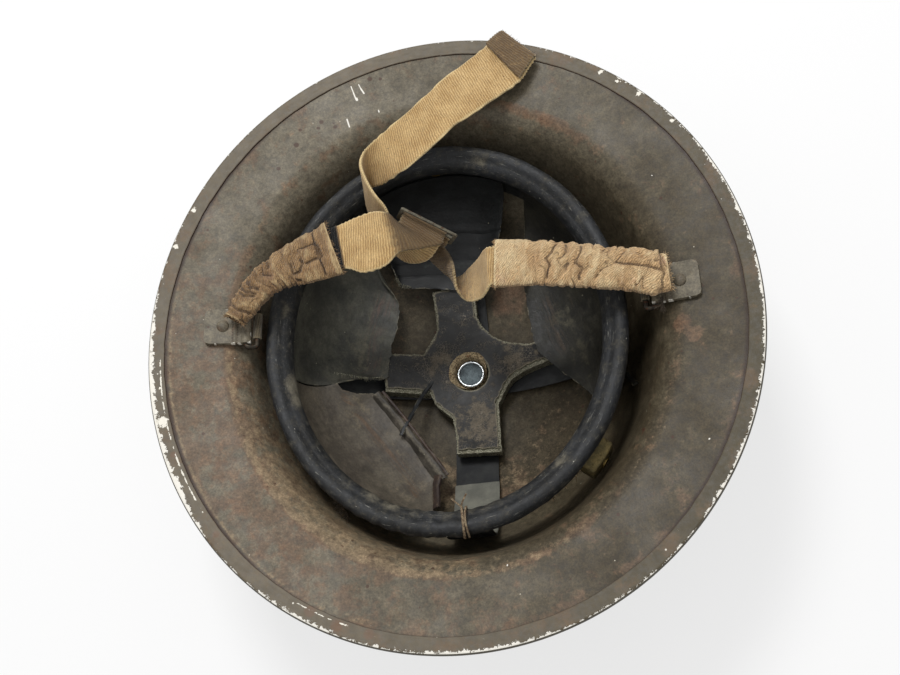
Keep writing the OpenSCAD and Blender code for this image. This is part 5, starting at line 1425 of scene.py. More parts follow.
def make_tongue(name, node, stations, material, width, tear, seed, wear, creases_at=()):
    """Hanging flap. Its flat coordinates are [0..width] along the headband and [0..TONGUE_DROP] down."""
    fine = 12
    turns = np.array([s[0] for s in stations], float)
    turns = np.where(turns > 300, turns - 360, turns)
    table = spline([(t, *s[1]) for t, s in zip(turns, stations)], fine)
    last = len(table) - 1

    def surface(flat):
        place = np.clip(flat[:, 0] / width, 0, 1) * last
        low = np.minimum(place.astype(int), last - 1)
        share = (place - low)[:, None]
        row = table[low] * (1 - share) + table[low + 1] * share
        v = np.clip(flat[:, 1] / TONGUE_DROP, 0, 1.2)[:, None]
        half = LINING_HALF - SOFT_GAP - TONGUE_SHEET / 2
        start = LINER_MID[:2] + np.column_stack([half[0] * cosd(row[:, 0]), half[1] * sind(row[:, 0])])
        xy = start + (row[:, 1:3] - start) * (1 - cosd(90 * v))
        z = TONGUE_TOP + (row[:, 3:] - TONGUE_TOP) * np.sin(np.pi / 2 * np.minimum(v, 1))
        p = np.column_stack([xy, z])
        buckle = 0.5 * lumps(p, 20, seed) + 0.16 * lumps(p, 6, seed + 1)
        for drop, depth in creases_at:
            buckle = buckle - depth * np.exp(-((flat[:, 1] - drop) / 0.8) ** 2)
        return p, buckle * np.minimum(1, 6 * v[:, 0])

    def normals(flat):
        step = 0.5
        a = surface(flat + [step, 0])[0] - surface(flat - [step, 0])[0]
        b = surface(flat + [0, step])[0] - surface(flat - [0, step])[0]
        n = unit(np.cross(a, b))
        inward = LINER_MID + [0, 0, 60] - surface(flat)[0]
        return np.where((n * inward).sum(1, keepdims=True) > 0, n, -n)

    def top(flat):
        p, buckle = surface(flat)
        return p + normals(flat) * (TONGUE_SHEET / 2 + buckle)[:, None]

    def bottom(flat):
        p, buckle = surface(flat)
        return p + normals(flat) * (-TONGUE_SHEET / 2 + buckle)[:, None]

    border = dense([(0, 0), (width, 0), (width, TONGUE_DROP), (0, TONGUE_DROP)], 0.8)
    frayed = lumps(raised(border), 4, seed + 2) + 0.5 * lumps(raised(border), 1.3, seed + 3)
    border[:, 1] += tear * frayed * smooth_step(border[:, 1], 20, 50)
    verts, faces, flat, distance = slab_of(border, top, bottom, 1.6)
    half = len(verts) // 2
    skin_mid = np.tile((verts[:half] + verts[half:]) / 2, (2, 1))
    verts = skin_mid + (verts - skin_mid) * (0.35 + 0.65 * smooth_step(distance, 0, 2.5))[:, None]
    pale, red_line, red_width, pale_line, pale_width = wear
    fade_and_highlight = 0.15 + spots(verts, pale, 0.9) + streak(verts, pale_line, pale_width)
    warm = streak(verts, red_line, red_width)
    edge = np.where(flat[:, 1] < 1.5, 3, distance)
    return add_piece(name, verts, faces, material, "oilcloth", stands_for=[node],
                     marks={"edge": edge, "fade_and_highlight": fade_and_highlight, "warm": warm, "side": flat[:, 0], "down": flat[:, 1]})


# Worn places of the flaps: spots rubbed pale, reddish line, its width, pale line, its width; on the front left
# flap that pale line is a painted highlight along its ridge
LEFT_WEAR = ([((-58, 12, 34), 9), ((-47, 4, 29), 5)], [(-45, 42), (-47, 30), (-50, 16), (-53, 4)], 6.0,
             [(-52, 40), (-56, 20), (-60, 4)], 1.2)
FRONT_LEFT_WEAR = ([((-60, -24, 44), 8), ((-34, -64, 40), 7)],
                   [(-65.9, -14.7), (-53.7, -31.5), (-40.4, -51.2), (-28.5, -69.6)], 2.6,
                   [(-61, -15), (-49, -31), (-36, -50), (-25, -67)], 1.0)
RIGHT_WEAR = ([((52, 20, 36), 7), ((62, 0, 40), 6)], [(46, 32), (48, 18), (52, 4)], 4.0,
              [(56, 30), (60, 10), (66, -10)], 1.2)
BACK_WEAR = ([((-10, 60, 34), 7), ((4, 56, 31), 6)], [(-34, 58), (-26, 55)], 3.0, [(-30, 62), (10, 60)], 1.0)


def make_tongues():
    make_tongue("back_flap", "tongue_back", BACK_STATIONS, BACK_TONGUE, 70, 0.4, 50, BACK_WEAR,
                ((30, 0.6), (35, 0.9), (41, 0.7), (47, 1.0), (54, 0.8)))
    make_tongue("left_flap", "tongue_left", LEFT_STATIONS, TONGUE, 84, 1.6, 60, LEFT_WEAR)
    make_tongue("front_left_flap", "tongue_front_left", FRONT_LEFT_STATIONS, FRONT_TONGUE, 86, 1.6, 70,
                FRONT_LEFT_WEAR)
    make_tongue("right_flap", "tongue_right", RIGHT_STATIONS, RIGHT_TONGUE, 112, 0.9, 80, RIGHT_WEAR)


# Profiles across a ribbon, from its left side to its right, as shares of its curl
ARCHED = ((0, 0.25, 0.5, 0.75, 1), (0, 0.75, 1, 0.75, 0))
ROLLED_OVER = ((0, 0.3, 0.55, 0.8, 0.92, 1), (-0.55, 0.1, 0.75, 1, 0.75, 0.2))


def make_ribbon(name, points, width, sheet, material, curl, profile=ARCHED, fade_and_highlight=0.0, columns=13):
    """Strip of cloth along a path, raised by curl times its profile; fade_and_highlight paints a pale highlight
    along the crest of the profile.
    """
    path = spline(points, 8)
    ahead = headings(path)
    side = unit(np.cross(ahead, [0, 0, 1.0]))
    lift = np.cross(side, ahead)
    torn = 1 + 0.22 * lumps(path, 3, 150)
    top, bottom, edge, pale = [], [], [], []
    for share in np.linspace(0, 1, columns):
        bow = curl * np.interp(share, *profile) + 0.25 * lumps(path + [0, 0, 4 * share], 3.5, 151)
        point = path + side * ((0.5 - share) * width * torn)[:, None] + lift * bow[:, None]
        thick = sheet / 2 * smooth_step(min(share, 1 - share), -0.06, 0.12)
        top.append(point + lift * thick)
        bottom.append(point - lift * thick)
        edge.append(np.full(len(path), width * min(share, 1 - share)))
        # Painted highlight: a pale band just past the middle, along the crest of a rolled ribbon.
        pale.append(np.full(len(path), fade_and_highlight * math.exp(-((share - 0.62) / 0.16) ** 2)))
    rings = np.concatenate([np.array(top), np.array(bottom)[::-1]]).transpose(1, 0, 2)
    marks = {"edge": np.array(edge + edge[::-1]).T, "fade_and_highlight": np.array(pale + pale[::-1]).T,
             "warm": np.zeros(rings.shape[:2]), "side": rings[..., 0], "down": rings[..., 1]}
    return add_piece(name, rings, strip_faces(*rings.shape[:2]), material, "oilcloth", marks=marks)


def make_torn_trim():
    """Rolled edge and torn bindings of the front left flap, the pad's lace and the right flap's binding."""
    rolled = [(-50.6, -14.2, 34.6), (-41.9, -25.4, 32.6), (-33.0, -37.6, 31.3), (-24.4, -49.8, 30.6),
              (-18.0, -58.8, 31.2), (-15.6, -64.0, 33)]
    # The rolled edge and the torn tip get a painted highlight along their crests.
    make_ribbon("rolled_flap_edge", rolled, 7.4, 0.8, ROLLED, 2.6, ROLLED_OVER, 1.6)
    binding = [(-46, -12.5, 35.4), (-37.2, -24.0, 33.4), (-28.2, -37.0, 32), (-18.8, -50.6, 31.8),
               (-12.4, -60.4, 33.4)]
    make_ribbon("torn_flap_binding", binding, 2.0, 0.8, TUFT, 0.5)
    tip = [(-17.0, -60.5, 34.2), (-18.2, -67.0, 36.4), (-17.7, -73.4, 39.4), (-17.2, -79.4, 43.4)]
    make_ribbon("torn_flap_tip", tip, 4.2, 0.8, TUFT, 1.1, ROLLED_OVER, 0.8)
    lace = [(-19.6, -1.4, 17.4), (-24.2, -8.2, 19.6), (-27.6, -15.4, 24.4), (-30.6, -23.4, 28.6),
            (-33.4, -30.6, 33.2), (-36.4, -37.6, 35.0)]
    make_ribbon("torn_pad_lace", lace, 2.4, 0.8, BACK_TONGUE, 0.3)
    torn = [(76.0, -6.4, 36), (80.6, -13.4, 42), (85.2, -21.4, 49), (87.4, -27.4, 57)]
    make_ribbon("torn_right_binding", torn, 3.0, 0.8, RIGHT_TONGUE, 0.4)


# Buffers

def buffer_out(turn):
    """Depth of the buffer in that direction: its own, or what the shell leaves it."""
    flare_run = FLARE_RADIUS * (sind(WALL_ANGLE) - sind(BRIM_SLOPE))
    flare_drop = FLARE_RADIUS * (cosd(BRIM_SLOPE) - cosd(WALL_ANGLE))
    brim_drop = (RIM_WIDTH / 2 - BOWL_WIDTH / 2 - flare_run) * math.tan(math.radians(BRIM_SLOPE))
    wall_top_z = RIM_HEIGHT - flare_drop - brim_drop
    foot = headband_point(np.array(turn), LINING_SHEET + SEAT_GAP + HEADBAND_SHEET, HEADBAND_LOW)
    wall = oval_radius(BOWL_WIDTH / 2, BOWL_LENGTH / 2, math.degrees(math.atan2(foot[1], foot[0])))
    wall_run = (wall_top_z - HEADBAND_LOW) / math.tan(math.radians(WALL_ANGLE))
    wall_low = wall - wall_run - SHELL_WALL / sind(WALL_ANGLE)
    return min(BUFFER_DEPTH, wall_low - math.hypot(foot[0], foot[1]) - BUFFER_GAP)


def make_buffers():
    parts = []
    for n, turn in enumerate(BUFFER_AZIMUTHS):
        grow = LINING_SHEET + HEADBAND_SHEET + 2 * SEAT_GAP
        foot = headband_point(np.array(turn), grow, HEADBAND_LOW)
        half = LINING_HALF + grow
        x = unit(np.array([half[1] * cosd(turn), half[0] * sind(turn), 0.0]))
        y = np.array([-x[1], x[0], 0.0])
        size = np.array([buffer_out(turn) - SEAT_GAP, BUFFER_WIDTH, BUFFER_HEIGHT])
        mesh = bmesh.new()
        bmesh.ops.create_cube(mesh, size=1.0)
        bmesh.ops.scale(mesh, vec=Vector(size), verts=mesh.verts)
        bmesh.ops.bevel(mesh, geom=mesh.edges[:] + mesh.verts[:], offset=1.0, segments=3, affect="EDGES",
                        profile=0.5)
        bmesh.ops.triangulate(mesh, faces=mesh.faces)
        bmesh.ops.subdivide_edges(mesh, edges=mesh.edges, cuts=3, use_grid_fill=True)
        local = np.array([v.co for v in mesh.verts]) + [size[0] / 2, 0, size[2] / 2]
        mesh.verts.index_update()
        faces = [[v.index for v in f.verts] for f in mesh.faces]
        mesh.free()
        curve = local[:, 1] ** 2 / 150
        verts = foot + (local[:, :1] - curve[:, None]) * x + local[:, 1:2] * y + local[:, 2:] * [0, 0, 1]
        verts = verts + unit(verts - foot) * 0.15 * lumps(verts, 3, 90 + n)[:, None]
        parts.append((verts, faces))
    verts, faces = joined(parts)
    return add_piece("rubber_buffers", verts, faces, RUBBER, "rubber", stands_for=["buffers"])


def make_tie():
    """Thread round the roll at the front, with its loose ends."""
    grow = (LINING_SHEET + HEADBAND_SHEET + SEAT_GAP) / 2
    middle = headband_point(np.array(TIE_TURN), grow, HEADBAND_TOP + SEAT_GAP + ROLL_HEIGHT / 2)
    out = unit(middle[:2] - LINER_MID[:2])
    x = np.array([out[0], out[1], 0])
    a = np.linspace(0, 360, 60, endpoint=False)
    side = np.array([-out[1], out[0], 0])
    ring = middle + 6.9 * (cosd(a)[:, None] * x) + 6.6 * (sind(a)[:, None] * [0, 0, 1])
    ring = ring + side * (0.7 * sind(a))[:, None]
    loop = tube_parts(ring, 0.62, 8, closed=True)
    second = tube_parts(ring + side * (1.6 + 0.5 * cosd(2 * a))[:, None], 0.5, 8, closed=True)
    knot = middle - x * 6.8 + [0, 0, 2.4]
    ends = []
    for shift in (np.array([2.2, 4.2, 1.2]), np.array([-3.4, 3.2, -1.8])):
        ends.append(tube_parts(spline([knot, knot + shift * 0.5 + [0, 0, 1.2], knot + shift * 1.3], 8), 0.4, 6))
    verts, faces = joined([loop, second] + ends)
    return add_piece("tied_thread", verts, faces, TWINE, "thread", stands_for=["tie_thread"])


# Chinstrap

LEFT_SLEEVE = [((-102, 7, 107.8), 10.5, 9), ((-96.8, 15.6, 107.5), 14, 9), ((-91.6, 23.4, 106.8), 15.8, 9),
               ((-83.8, 29.7, 106), 18, 9), ((-76, 33.6, 105.7), 22, 8.5), ((-66, 36.7, 105.6), 25.3, 8),
               ((-53, 41, 105.8), 29.6, 7.5)]
RIGHT_SLEEVE = [((105, 9, 108), 17, 9), ((100, 9, 107.9), 21.5, 9.5), ((92, 11.6, 107.2), 21, 10),
                ((80, 14.5, 106.3), 20.6, 9.5), ((62, 18.6, 105.7), 21.8, 9), ((44, 21.7, 105.6), 22.4, 8),
                ((26, 23.2, 105.8), 23.6, 7.5)]


def sleeve_frame(stations, steps):
    middle = spline([s[0] for s in stations], steps)
    size = spline([(s[1], s[2]) for s in stations], steps)
    ahead = headings(middle)
    side = unit(np.cross(ahead, [0, 0, 1.0]))
    up = np.cross(side, ahead)
    return middle, size, side, up


def make_sleeve(name, node, stations, material, seed, crease_lines, gather, steps=44, around=132):
    """Gathered cloth tube: puffs between the listed creases above and between scattered ones underneath."""
    middle, size, side, up = sleeve_frame(stations, steps)
    along = lengths_along(middle)
    half_width = size[:, 0].mean() / 2
    outer, inner = [], []
    turned = 360 * np.arange(around) / around
    places = []
    for a in turned:
        c, s = cosd(a), sind(a)
        square_c, square_s = np.sign(c) * abs(c) ** 0.75, np.sign(s) * abs(s) ** 0.75
        half = size / 2
        outer.append(middle + side * (half[:, :1] * square_c) + up * (half[:, 1:] * square_s))
        inner.append(middle + side * ((half[:, :1] - SLEEVE_SHEET) * square_c)
                     + up * ((half[:, 1:] - SLEEVE_SHEET) * square_s))
        places.append(np.column_stack([along, np.full(len(along), square_c * half_width)]))
    outer, inner, places = np.array(outer), np.array(inner), np.array(places)
    shape = outer.shape[:2]
    flat = places.reshape(-1, 2)
    sway = 0.9 * lumps(raised(flat), 4.5, seed)
    swayed = flat + np.column_stack([sway, 0.5 * sway])
    depth = np.zeros(len(flat))
    dark = np.zeros(len(flat))
    nearest = np.full(len(flat), 1e9)
    for n, line in enumerate(crease_lines):
        points = np.array([(u, v * half_width) for u, v in line])
        gap = gap_to_line(swayed, points)
        nearest = np.minimum(nearest, gap)
        strength = 0.75 + 0.45 * math.sin(2.4 * n + seed)
        depth = np.maximum(depth, strength * np.exp(-(gap / 0.75) ** 2))
        dark = np.maximum(dark, min(1.0, strength) * np.exp(-(gap / 0.6) ** 2))
    top_side = np.repeat(smooth_step(sind(turned), -0.05, 0.3)[:, None], shape[1], 1)
    net = lumps(raised(swayed / [4.4, 8.5]), 1.0, seed + 7)
    fine_net = lumps(raised(swayed / [2.3, 4.6]), 1.0, seed + 8)
    broken = smooth_step(lumps(raised(flat), 6, seed + 9), -0.35, 0.25)
    valley, fine_valley = broken * np.exp(-(net / 0.1) ** 2), np.exp(-(fine_net / 0.13) ** 2)
    gathered = smooth_step(np.interp(flat[:, 0], *gather), 0, 1)
    depth = np.maximum(depth, 0.62 * valley * gathered) + 0.16 * fine_valley * gathered
    dark = np.maximum(np.maximum(dark, 0.55 * valley * gathered), 0.3 * fine_valley * gathered)
    puff = 0.75 * smooth_step(nearest, 0.3, 3.4).reshape(shape) - 1.7 * depth.reshape(shape)
    wrinkle = 0.34 * lumps(raised(flat / [2.1, 7.5]), 1.0, seed + 2).reshape(shape)
    wrinkle += 0.2 * lumps(outer, 1.5, seed + 3)
    under = (np.maximum(valley, 0.5 * fine_valley) * gathered).reshape(shape)
    swell = top_side * puff + (1 - top_side) * (0.3 - 1.1 * under) + wrinkle - 0.1
    out = unit(outer - middle[None])
    outer = outer + out * swell[..., None]
    rows = np.concatenate([outer, inner[:, ::-1]], axis=1)
    # Painted shade: dark along the listed creases on top and in the valleys underneath.
    painted_crease_shade = top_side * dark.reshape(shape) + (1 - top_side) * 0.45 * under
    length = np.concatenate([along, along[::-1]])
    ends = np.minimum(along, along[-1] - along)
    # Painted shade over the sleeve's inner face.
    lining = np.full(shape, 0.6)
    blush = lumps(raised(flat), 16, seed + 5).reshape(shape)
    marks = {
        "along": np.repeat(length[None], around, 0),
        "across": np.concatenate([places[..., 1], places[:, ::-1, 1]], axis=1),
        "edge": np.repeat(np.concatenate([ends, ends[::-1] + 3])[None], around, 0),
        "crease_shade": np.concatenate([painted_crease_shade, lining], axis=1),
        "blush": np.concatenate([blush, blush[:, ::-1]], axis=1),
        # Painted highlight where the cloth swells out most.
        "lit_crest": np.concatenate([smooth_step(swell, 0.0, 1.1), 0 * lining], axis=1),
    }
    faces = grid_faces(around, rows.shape[1], wrap_rows=True, wrap_columns=True)
    return add_piece(name, rows, faces, material, "sleeve_cloth", "chinstrap", [node], marks, sharp=70)


def make_fray(name, places, aims, length, count, material, slot, body="helmet", radius=0.13, seed=0,
              spread=0.6):
    """Loose fibres that start at random places along a line and lean towards aims."""
    draw = np.random.default_rng(seed)
    places, aims = np.asarray(places, float), unit(np.asarray(aims, float))
    parts = []
    for _ in range(count):
        t = draw.uniform(0, len(places) - 1)
        k = min(int(t), len(places) - 2)
        start = places[k] + (places[k + 1] - places[k]) * (t - k)
        aim = unit(aims[k] + (aims[k + 1] - aims[k]) * (t - k) + draw.normal(0, spread, 3))
        reach = length * draw.uniform(0.4, 1.2)
        bow = draw.normal(0, 0.3, 3) * reach
        path = spline([start - aim * 0.5, start + aim * reach * 0.5 + bow * 0.6, start + aim * reach + bow], 4)
        taper = np.linspace(1, 0.45, len(path)) * radius
        parts.append(tube_parts(path, taper, 5))
    verts, faces = joined(parts)
    ones = np.ones(len(verts))
    marks = {"edge": 3 * ones, "fade_and_highlight": ones, "along": verts[:, 0], "across": verts[:, 1], "grime_and_shade": 0 * ones}
    return add_piece(name, verts, faces, material, slot, body, marks=marks)


def make_springs(name, node, stations):
    """Two coil springs side by side in a sleeve."""
    parts = []
    path = spline([s[0] for s in stations[:-1]], 3)
    width = spline([(s[1],) for s in stations[:-1]], 3)[:, 0]
    side = unit(np.cross(headings(path), [0, 0, 1.0]))
    for hand in (-1, 1):
        offset = np.minimum(5.5, width / 2 - SLEEVE_SHEET - SPRING_D / 2 - 0.5)
        line = path + side * hand * offset[:, None]
        along = lengths_along(line)
        turns = along[-1] / SPRING_PITCH
        s = np.linspace(0, along[-1], int(turns * 9))
        middle = np.column_stack([np.interp(s, along, line[:, i]) for i in range(3)])
        ahead = headings(middle)
        across = unit(np.cross(ahead, [0, 0, 1.0]))
        up = np.cross(across, ahead)
        a = 360 * s / SPRING_PITCH
        reach = SPRING_D / 2 - 0.3
        helix = middle + reach * (across * cosd(a)[:, None] + up * sind(a)[:, None])
        parts.append(tube_parts(helix, SPRING_WIRE_R, 5))
    verts, faces = joined(parts)
    return add_piece(name, verts, faces, WIRE, "dark_wire", "chinstrap", [node])


BUCKLE_AT = np.array([-4.6, 49.0, 107.0])
BUCKLE_X = unit(np.array([0.823, -0.403, -0.4]))
DOWN = np.array([-0.413, 0.214, -0.886])
BUCKLE_Y = unit(DOWN - DOWN.dot(BUCKLE_X) * BUCKLE_X)
BUCKLE_Z = np.cross(BUCKLE_X, BUCKLE_Y)
WINDOW_NEAR, WINDOW_FAR = 4.2, 5.8
MIDDLE_BAR_Y = BUCKLE_BAR + WINDOW_NEAR
END_BAR_Y = MIDDLE_BAR_Y + BUCKLE_BAR + WINDOW_FAR
WRAP = WEBBING_SHEET / 2 + 2 * SEAT_GAP
NEAR_Y, FAR_Y = MIDDLE_BAR_Y - WRAP, MIDDLE_BAR_Y + BUCKLE_BAR + WRAP
BEND = 1.4
BEND_Z = BUCKLE_SHEET / 2 + WRAP - BEND
EYE_Z, EYE_TOP = BUCKLE_SHEET / 2 + WRAP, END_BAR_Y + 0.3


def on_buckle(x, y, z):
    return BUCKLE_AT + x * BUCKLE_X + y * BUCKLE_Y + z * BUCKLE_Z


def long_at(y, z):
    return (on_buckle(-13.3, y, z), on_buckle(10.0, y, z))


def short_at(y, z):
    return (on_buckle(-9.5, y, z), on_buckle(13.2, y, z))


def long_stations():
    """Pairs of edge points, [back edge, front edge], of the long webbing."""
    start = [((-60, 51, 105.6), (-54.5, 28.5, 105.6)), ((-50, 53.4, 106), (-46, 29, 106)),
             ((-41, 56, 107), (-38, 26, 106)), ((-32, 57, 108.8), (-27.5, 28.5, 105.5)),
             ((-25.5, 55, 110.2), (-20, 35.5, 104.8)), ((-22.8, 53, 109.6), (-10.5, 38.3, 100.3))]
    down = [long_at(NEAR_Y, z) for z in (-6, -3, -1)]
    over = [long_at(NEAR_Y + BEND * (1 - cosd(a)), BEND_Z + BEND * sind(a)) for a in (0, 45, 90)]
    back = [long_at(FAR_Y - BEND * (1 - cosd(a)), BEND_Z + BEND * sind(a)) for a in (90, 45, 0)]
    away = [long_at(FAR_Y, z) for z in (-1, -3, -5.5)]
    tail = [((-24, 50.2, 101.8), (-10, 38.5, 86)), ((-25.3, 53, 100.5), (-21, 41, 80.5)),
            ((-26, 57.5, 101.8), (-28.5, 47.5, 81)), ((-27.5, 61.8, 105), (-32, 53.5, 83.5)),
            ((-31.3, 66.5, 108.5), (-35.5, 60.5, 86)), ((-35.5, 74.5, 111.3), (-39, 68, 88.5)),
            ((-37.5, 82.5, 113), (-40, 75.5, 91)), ((-36, 89, 113), (-37.5, 79.5, 93)),
            ((-31.5, 94.5, 112.5), (-29, 78.5, 98)), ((-23, 102, 111.7), (-17.5, 80, 105.5)),
            ((-13, 110.5, 111.2), (-4, 87, 109.3)), ((-4, 118.5, 110.9), (8, 97.5, 110.3)),
            ((6, 127.5, 110.8), (20, 105, 110.6)), ((20, 137.5, 110.8), (34, 113, 110.8)),
            ((29, 144, 110.8), (45, 120.5, 110.8)), ((34, 148.2, 110.9), (50, 127.5, 110.9)),
            ((36.8, 150.2, 111.2), (53, 131.5, 111.2)), ((37.5, 150.8, 112.2), (53.6, 132.4, 112.2)),
            ((36.8, 150.2, 113.2), (53, 131.5, 113.2)), ((34, 148.2, 113.5), (50, 127.5, 113.5)),
            ((29, 144, 113.5), (45, 120.5, 113.5))]
    return start + down + over + back + away + tail


def short_stations():
    """Pairs of edge points of the short webbing, from its sewn eye to the right sleeve."""
    eye = [short_at(EYE_TOP + 8.2, 0.95), short_at(EYE_TOP + 5.5, 1.25), short_at(EYE_TOP + 3, EYE_Z),
           short_at(EYE_TOP + 1.3, EYE_Z)]
    eye += [short_at(EYE_TOP - EYE_Z * cosd(a), EYE_Z * sind(a)) for a in (90, 45, 0, -45, -90)]
    eye += [short_at(EYE_TOP + 1.3, -EYE_Z), short_at(EYE_TOP + 3, -EYE_Z), short_at(EYE_TOP + 5.5, -1.15),
            short_at(EYE_TOP + 8.2, -0.9)]
    run = [((-20, 54, 83.5), (0, 44, 81)), ((-14.5, 49, 74.8), (2.2, 38.5, 84)),
           ((-6.8, 41, 71.2), (3.9, 30.5, 90)), ((-2, 36.3, 70), (4.4, 23.5, 90)),
           ((0.8, 34.5, 70.2), (5, 19.3, 88.6)), ((5.5, 34, 73), (8, 14.5, 86.8)),
           ((11, 35, 80), (12, 12.5, 88.3)), ((16.5, 34.5, 90), (17.5, 11.5, 94)),
           ((20.5, 34, 99.5), (21, 12, 100.5)), ((24, 33, 104.6), (24.2, 13.4, 104.8)),
           ((33, 30.8, 105.7), (33, 13.6, 105.7))]
    return eye + run


def make_webbing(name, node, stations, seed, grime_and_shade_at, end_darkening=0.0, steps=9, columns=22):
    """Ribbed strip through the stations, with a beaded selvedge on each side."""
    edge_a = spline([s[0] for s in stations], steps)
    edge_b = spline([s[1] for s in stations], steps)
    middle = (edge_a + edge_b) / 2
    ahead = headings(middle)
    lift = unit(np.cross(edge_b - edge_a, ahead))
    along = lengths_along(middle)
    width = np.linalg.norm(edge_b - edge_a, axis=1)
    tooth = 0.3 * np.sin(along * 2 * math.pi / 1.7)[:, None]
    side = unit(edge_b - edge_a)
    shares = np.linspace(0, 1, columns)
    shares = 0.5 - 0.5 * np.cos(np.pi * shares) * (0.35 + 0.65 * np.abs(np.cos(np.pi * shares)))
    top, bottom, across, edge = [], [], [], []
    for share in shares:
        point = edge_a + (edge_b - edge_a) * share
        if share in (shares[0], shares[-1]):
            point = point + side * tooth * (1 if share else -1)
        inset = min(share, 1 - share) * width
        bead = 0.12 * np.exp(-((inset - 1.2) / 0.6) ** 2)
        thick = WEBBING_SHEET / 2 * (0.45 + 0.55 * smooth_step(inset, 0, 0.7)) + bead
        wave = 0.16 * lumps(point, 8, seed) + 0.05 * lumps(point, 2.2, seed + 1)
        top.append(point + lift * (thick + wave)[:, None])
        bottom.append(point + lift * (wave - thick)[:, None])
        across.append(share * width)
        edge.append(inset)
    rings = np.concatenate([np.array(top), np.array(bottom)[::-1]]).transpose(1, 0, 2)
    # Darker along the given stations, with dirt and painted shadow, and darker over the last 13 mm.
    grime_and_shade = np.interp(along, *grime_and_shade_at) + end_darkening * smooth_step(along[-1] - along, 13.0, 12.4)
    marks = {
        "along": np.repeat(along[:, None], 2 * columns, 1),
        "across": np.array(across + across[::-1]).T,
        "edge": np.array(edge + edge[::-1]).T,
        "grime_and_shade": np.repeat(grime_and_shade[:, None], 2 * columns, 1),
    }
    add_piece(name, rings, strip_faces(*rings.shape[:2]), WEBBING, "webbing", "chinstrap", [node], marks,
              sharp=60)
    return along[-1] * MM, float(np.mean(width)) * MM


def make_buckle():
    """Sheet buckle with two windows and softened edges."""
    half, height = BUCKLE_LENGTH / 2, END_BAR_Y + BUCKLE_BAR
    outline = [(-half + 0.8, 0), (half - 0.8, 0), (half, 0.8), (half, height - 0.8), (half - 0.8, height),
               (-half + 0.8, height), (-half, height - 0.8), (-half, 0.8)]
    w = half - BUCKLE_BAR
    holes = [dense([(-w, low), (w, low), (w, high), (-w, high)], 1.5)
             for low, high in ((BUCKLE_BAR, MIDDLE_BAR_Y), (MIDDLE_BAR_Y + BUCKLE_BAR, END_BAR_Y))]

    def level(sign):
        def place(flat):
            swell = BUCKLE_SHEET / 2 + 0.06 * lumps(np.column_stack([flat, flat[:, :1]]), 2, 95)
            return (BUCKLE_AT + flat[:, :1] * BUCKLE_X + flat[:, 1:] * BUCKLE_Y
                    + sign * swell[:, None] * BUCKLE_Z)
        return place

    verts, faces = slab_of(dense(outline, 0.8), level(1), level(-1), 0.8, holes)[:2]
    piece = add_piece("worn_buckle", verts, faces, BUCKLE, "dull_steel", "chinstrap", ["buckle"])
    soften_edges(piece)
    return piece


def make_frays():
    """Loose fibres where the cloth is torn or cut."""
    for name, stations, cotton, at, hand in (("left", LEFT_SLEEVE, LEFT_COTTON, -1, 1),
                                             ("right", RIGHT_SLEEVE, RIGHT_COTTON, -1, 1),
                                             ("right_lug", RIGHT_SLEEVE, RIGHT_COTTON, 0, -1),
                                             ("left_lug", LEFT_SLEEVE, LEFT_COTTON, 0, -1)):
        middle, size, side, up = sleeve_frame(stations, 8)
        a = np.linspace(-10, 190, 14)
        ring = middle[at] + side[at] * (size[at, 0] / 2 * cosd(a))[:, None]
        ring = ring + up[at] * (size[at, 1] / 2 * sind(a))[:, None]
        aims = hand * headings(middle)[at] + 0.9 * unit(ring - middle[at])
        make_fray(f"sleeve_fuzz_{name}", ring, aims, 1.7, 110, cotton, "sleeve_cloth", "chinstrap", 0.11,
                  3 + at + hand)
    # Name, line, aim, length, count, material, slot, body, radius and seed of each further fray
    table = [
        ("webbing_end_fuzz", [(36.8, 150.2, 112.4), (45.6, 141.4, 112.4), (53.4, 131.9, 112.4)],
         (0.7, 0.6, 0.3), 1.8, 90, DARK_FIBRE, "webbing", "chinstrap", 0.13, 11),
        ("wire_end_fray", [(101.5, -1.0, 104.0), (100.8, -6.5, 102.4)],
         (-0.3, -1, -0.2), 2.8, 46, DARK_FIBRE, "webbing", "chinstrap", 0.16, 12),
        ("rusty_headband_fray", [(56.6, -72.1, 76.0), (52.8, -73.2, 75.0), (48.3, -75.5, 74.0),
                                 (44.6, -79.6, 73.0), (40.9, -84, 72.0)],
         (0.2, -0.8, 0.3), 3.0, 120, WASHER, "fibre", "helmet", 0.2, 13),
        ("headband_fray", [(-62.1, -74.2, 79.0), (-57.7, -80.3, 78.0), (-53.7, -87.0, 77.0)],
         (-0.6, -0.8, 0.1), 3.0, 70, DARK_FIBRE, "fibre", "helmet", 0.2, 14),
        ("left_flap_fray", [(-69.5, -3.6, 48.5), (-60.0, -3.4, 38.5), (-54.0, -3.2, 32.6), (-46.4, -2.2, 28.8)],
         (0.1, -1, 0.1), 1.6, 120, FELT, "oilcloth", "helmet", 0.1, 15),
        ("back_flap_fray", [(-37, 55, 36.5), (-35.4, 51.5, 31.5), (-30, 50.2, 29.2)],
         (-0.3, -1, 0.1), 2.0, 60, FELT, "oilcloth", "helmet", 0.1, 16),
    ]
    for name, line, aim, *kind in table:
        make_fray(name, line, [aim] * len(line), *kind)


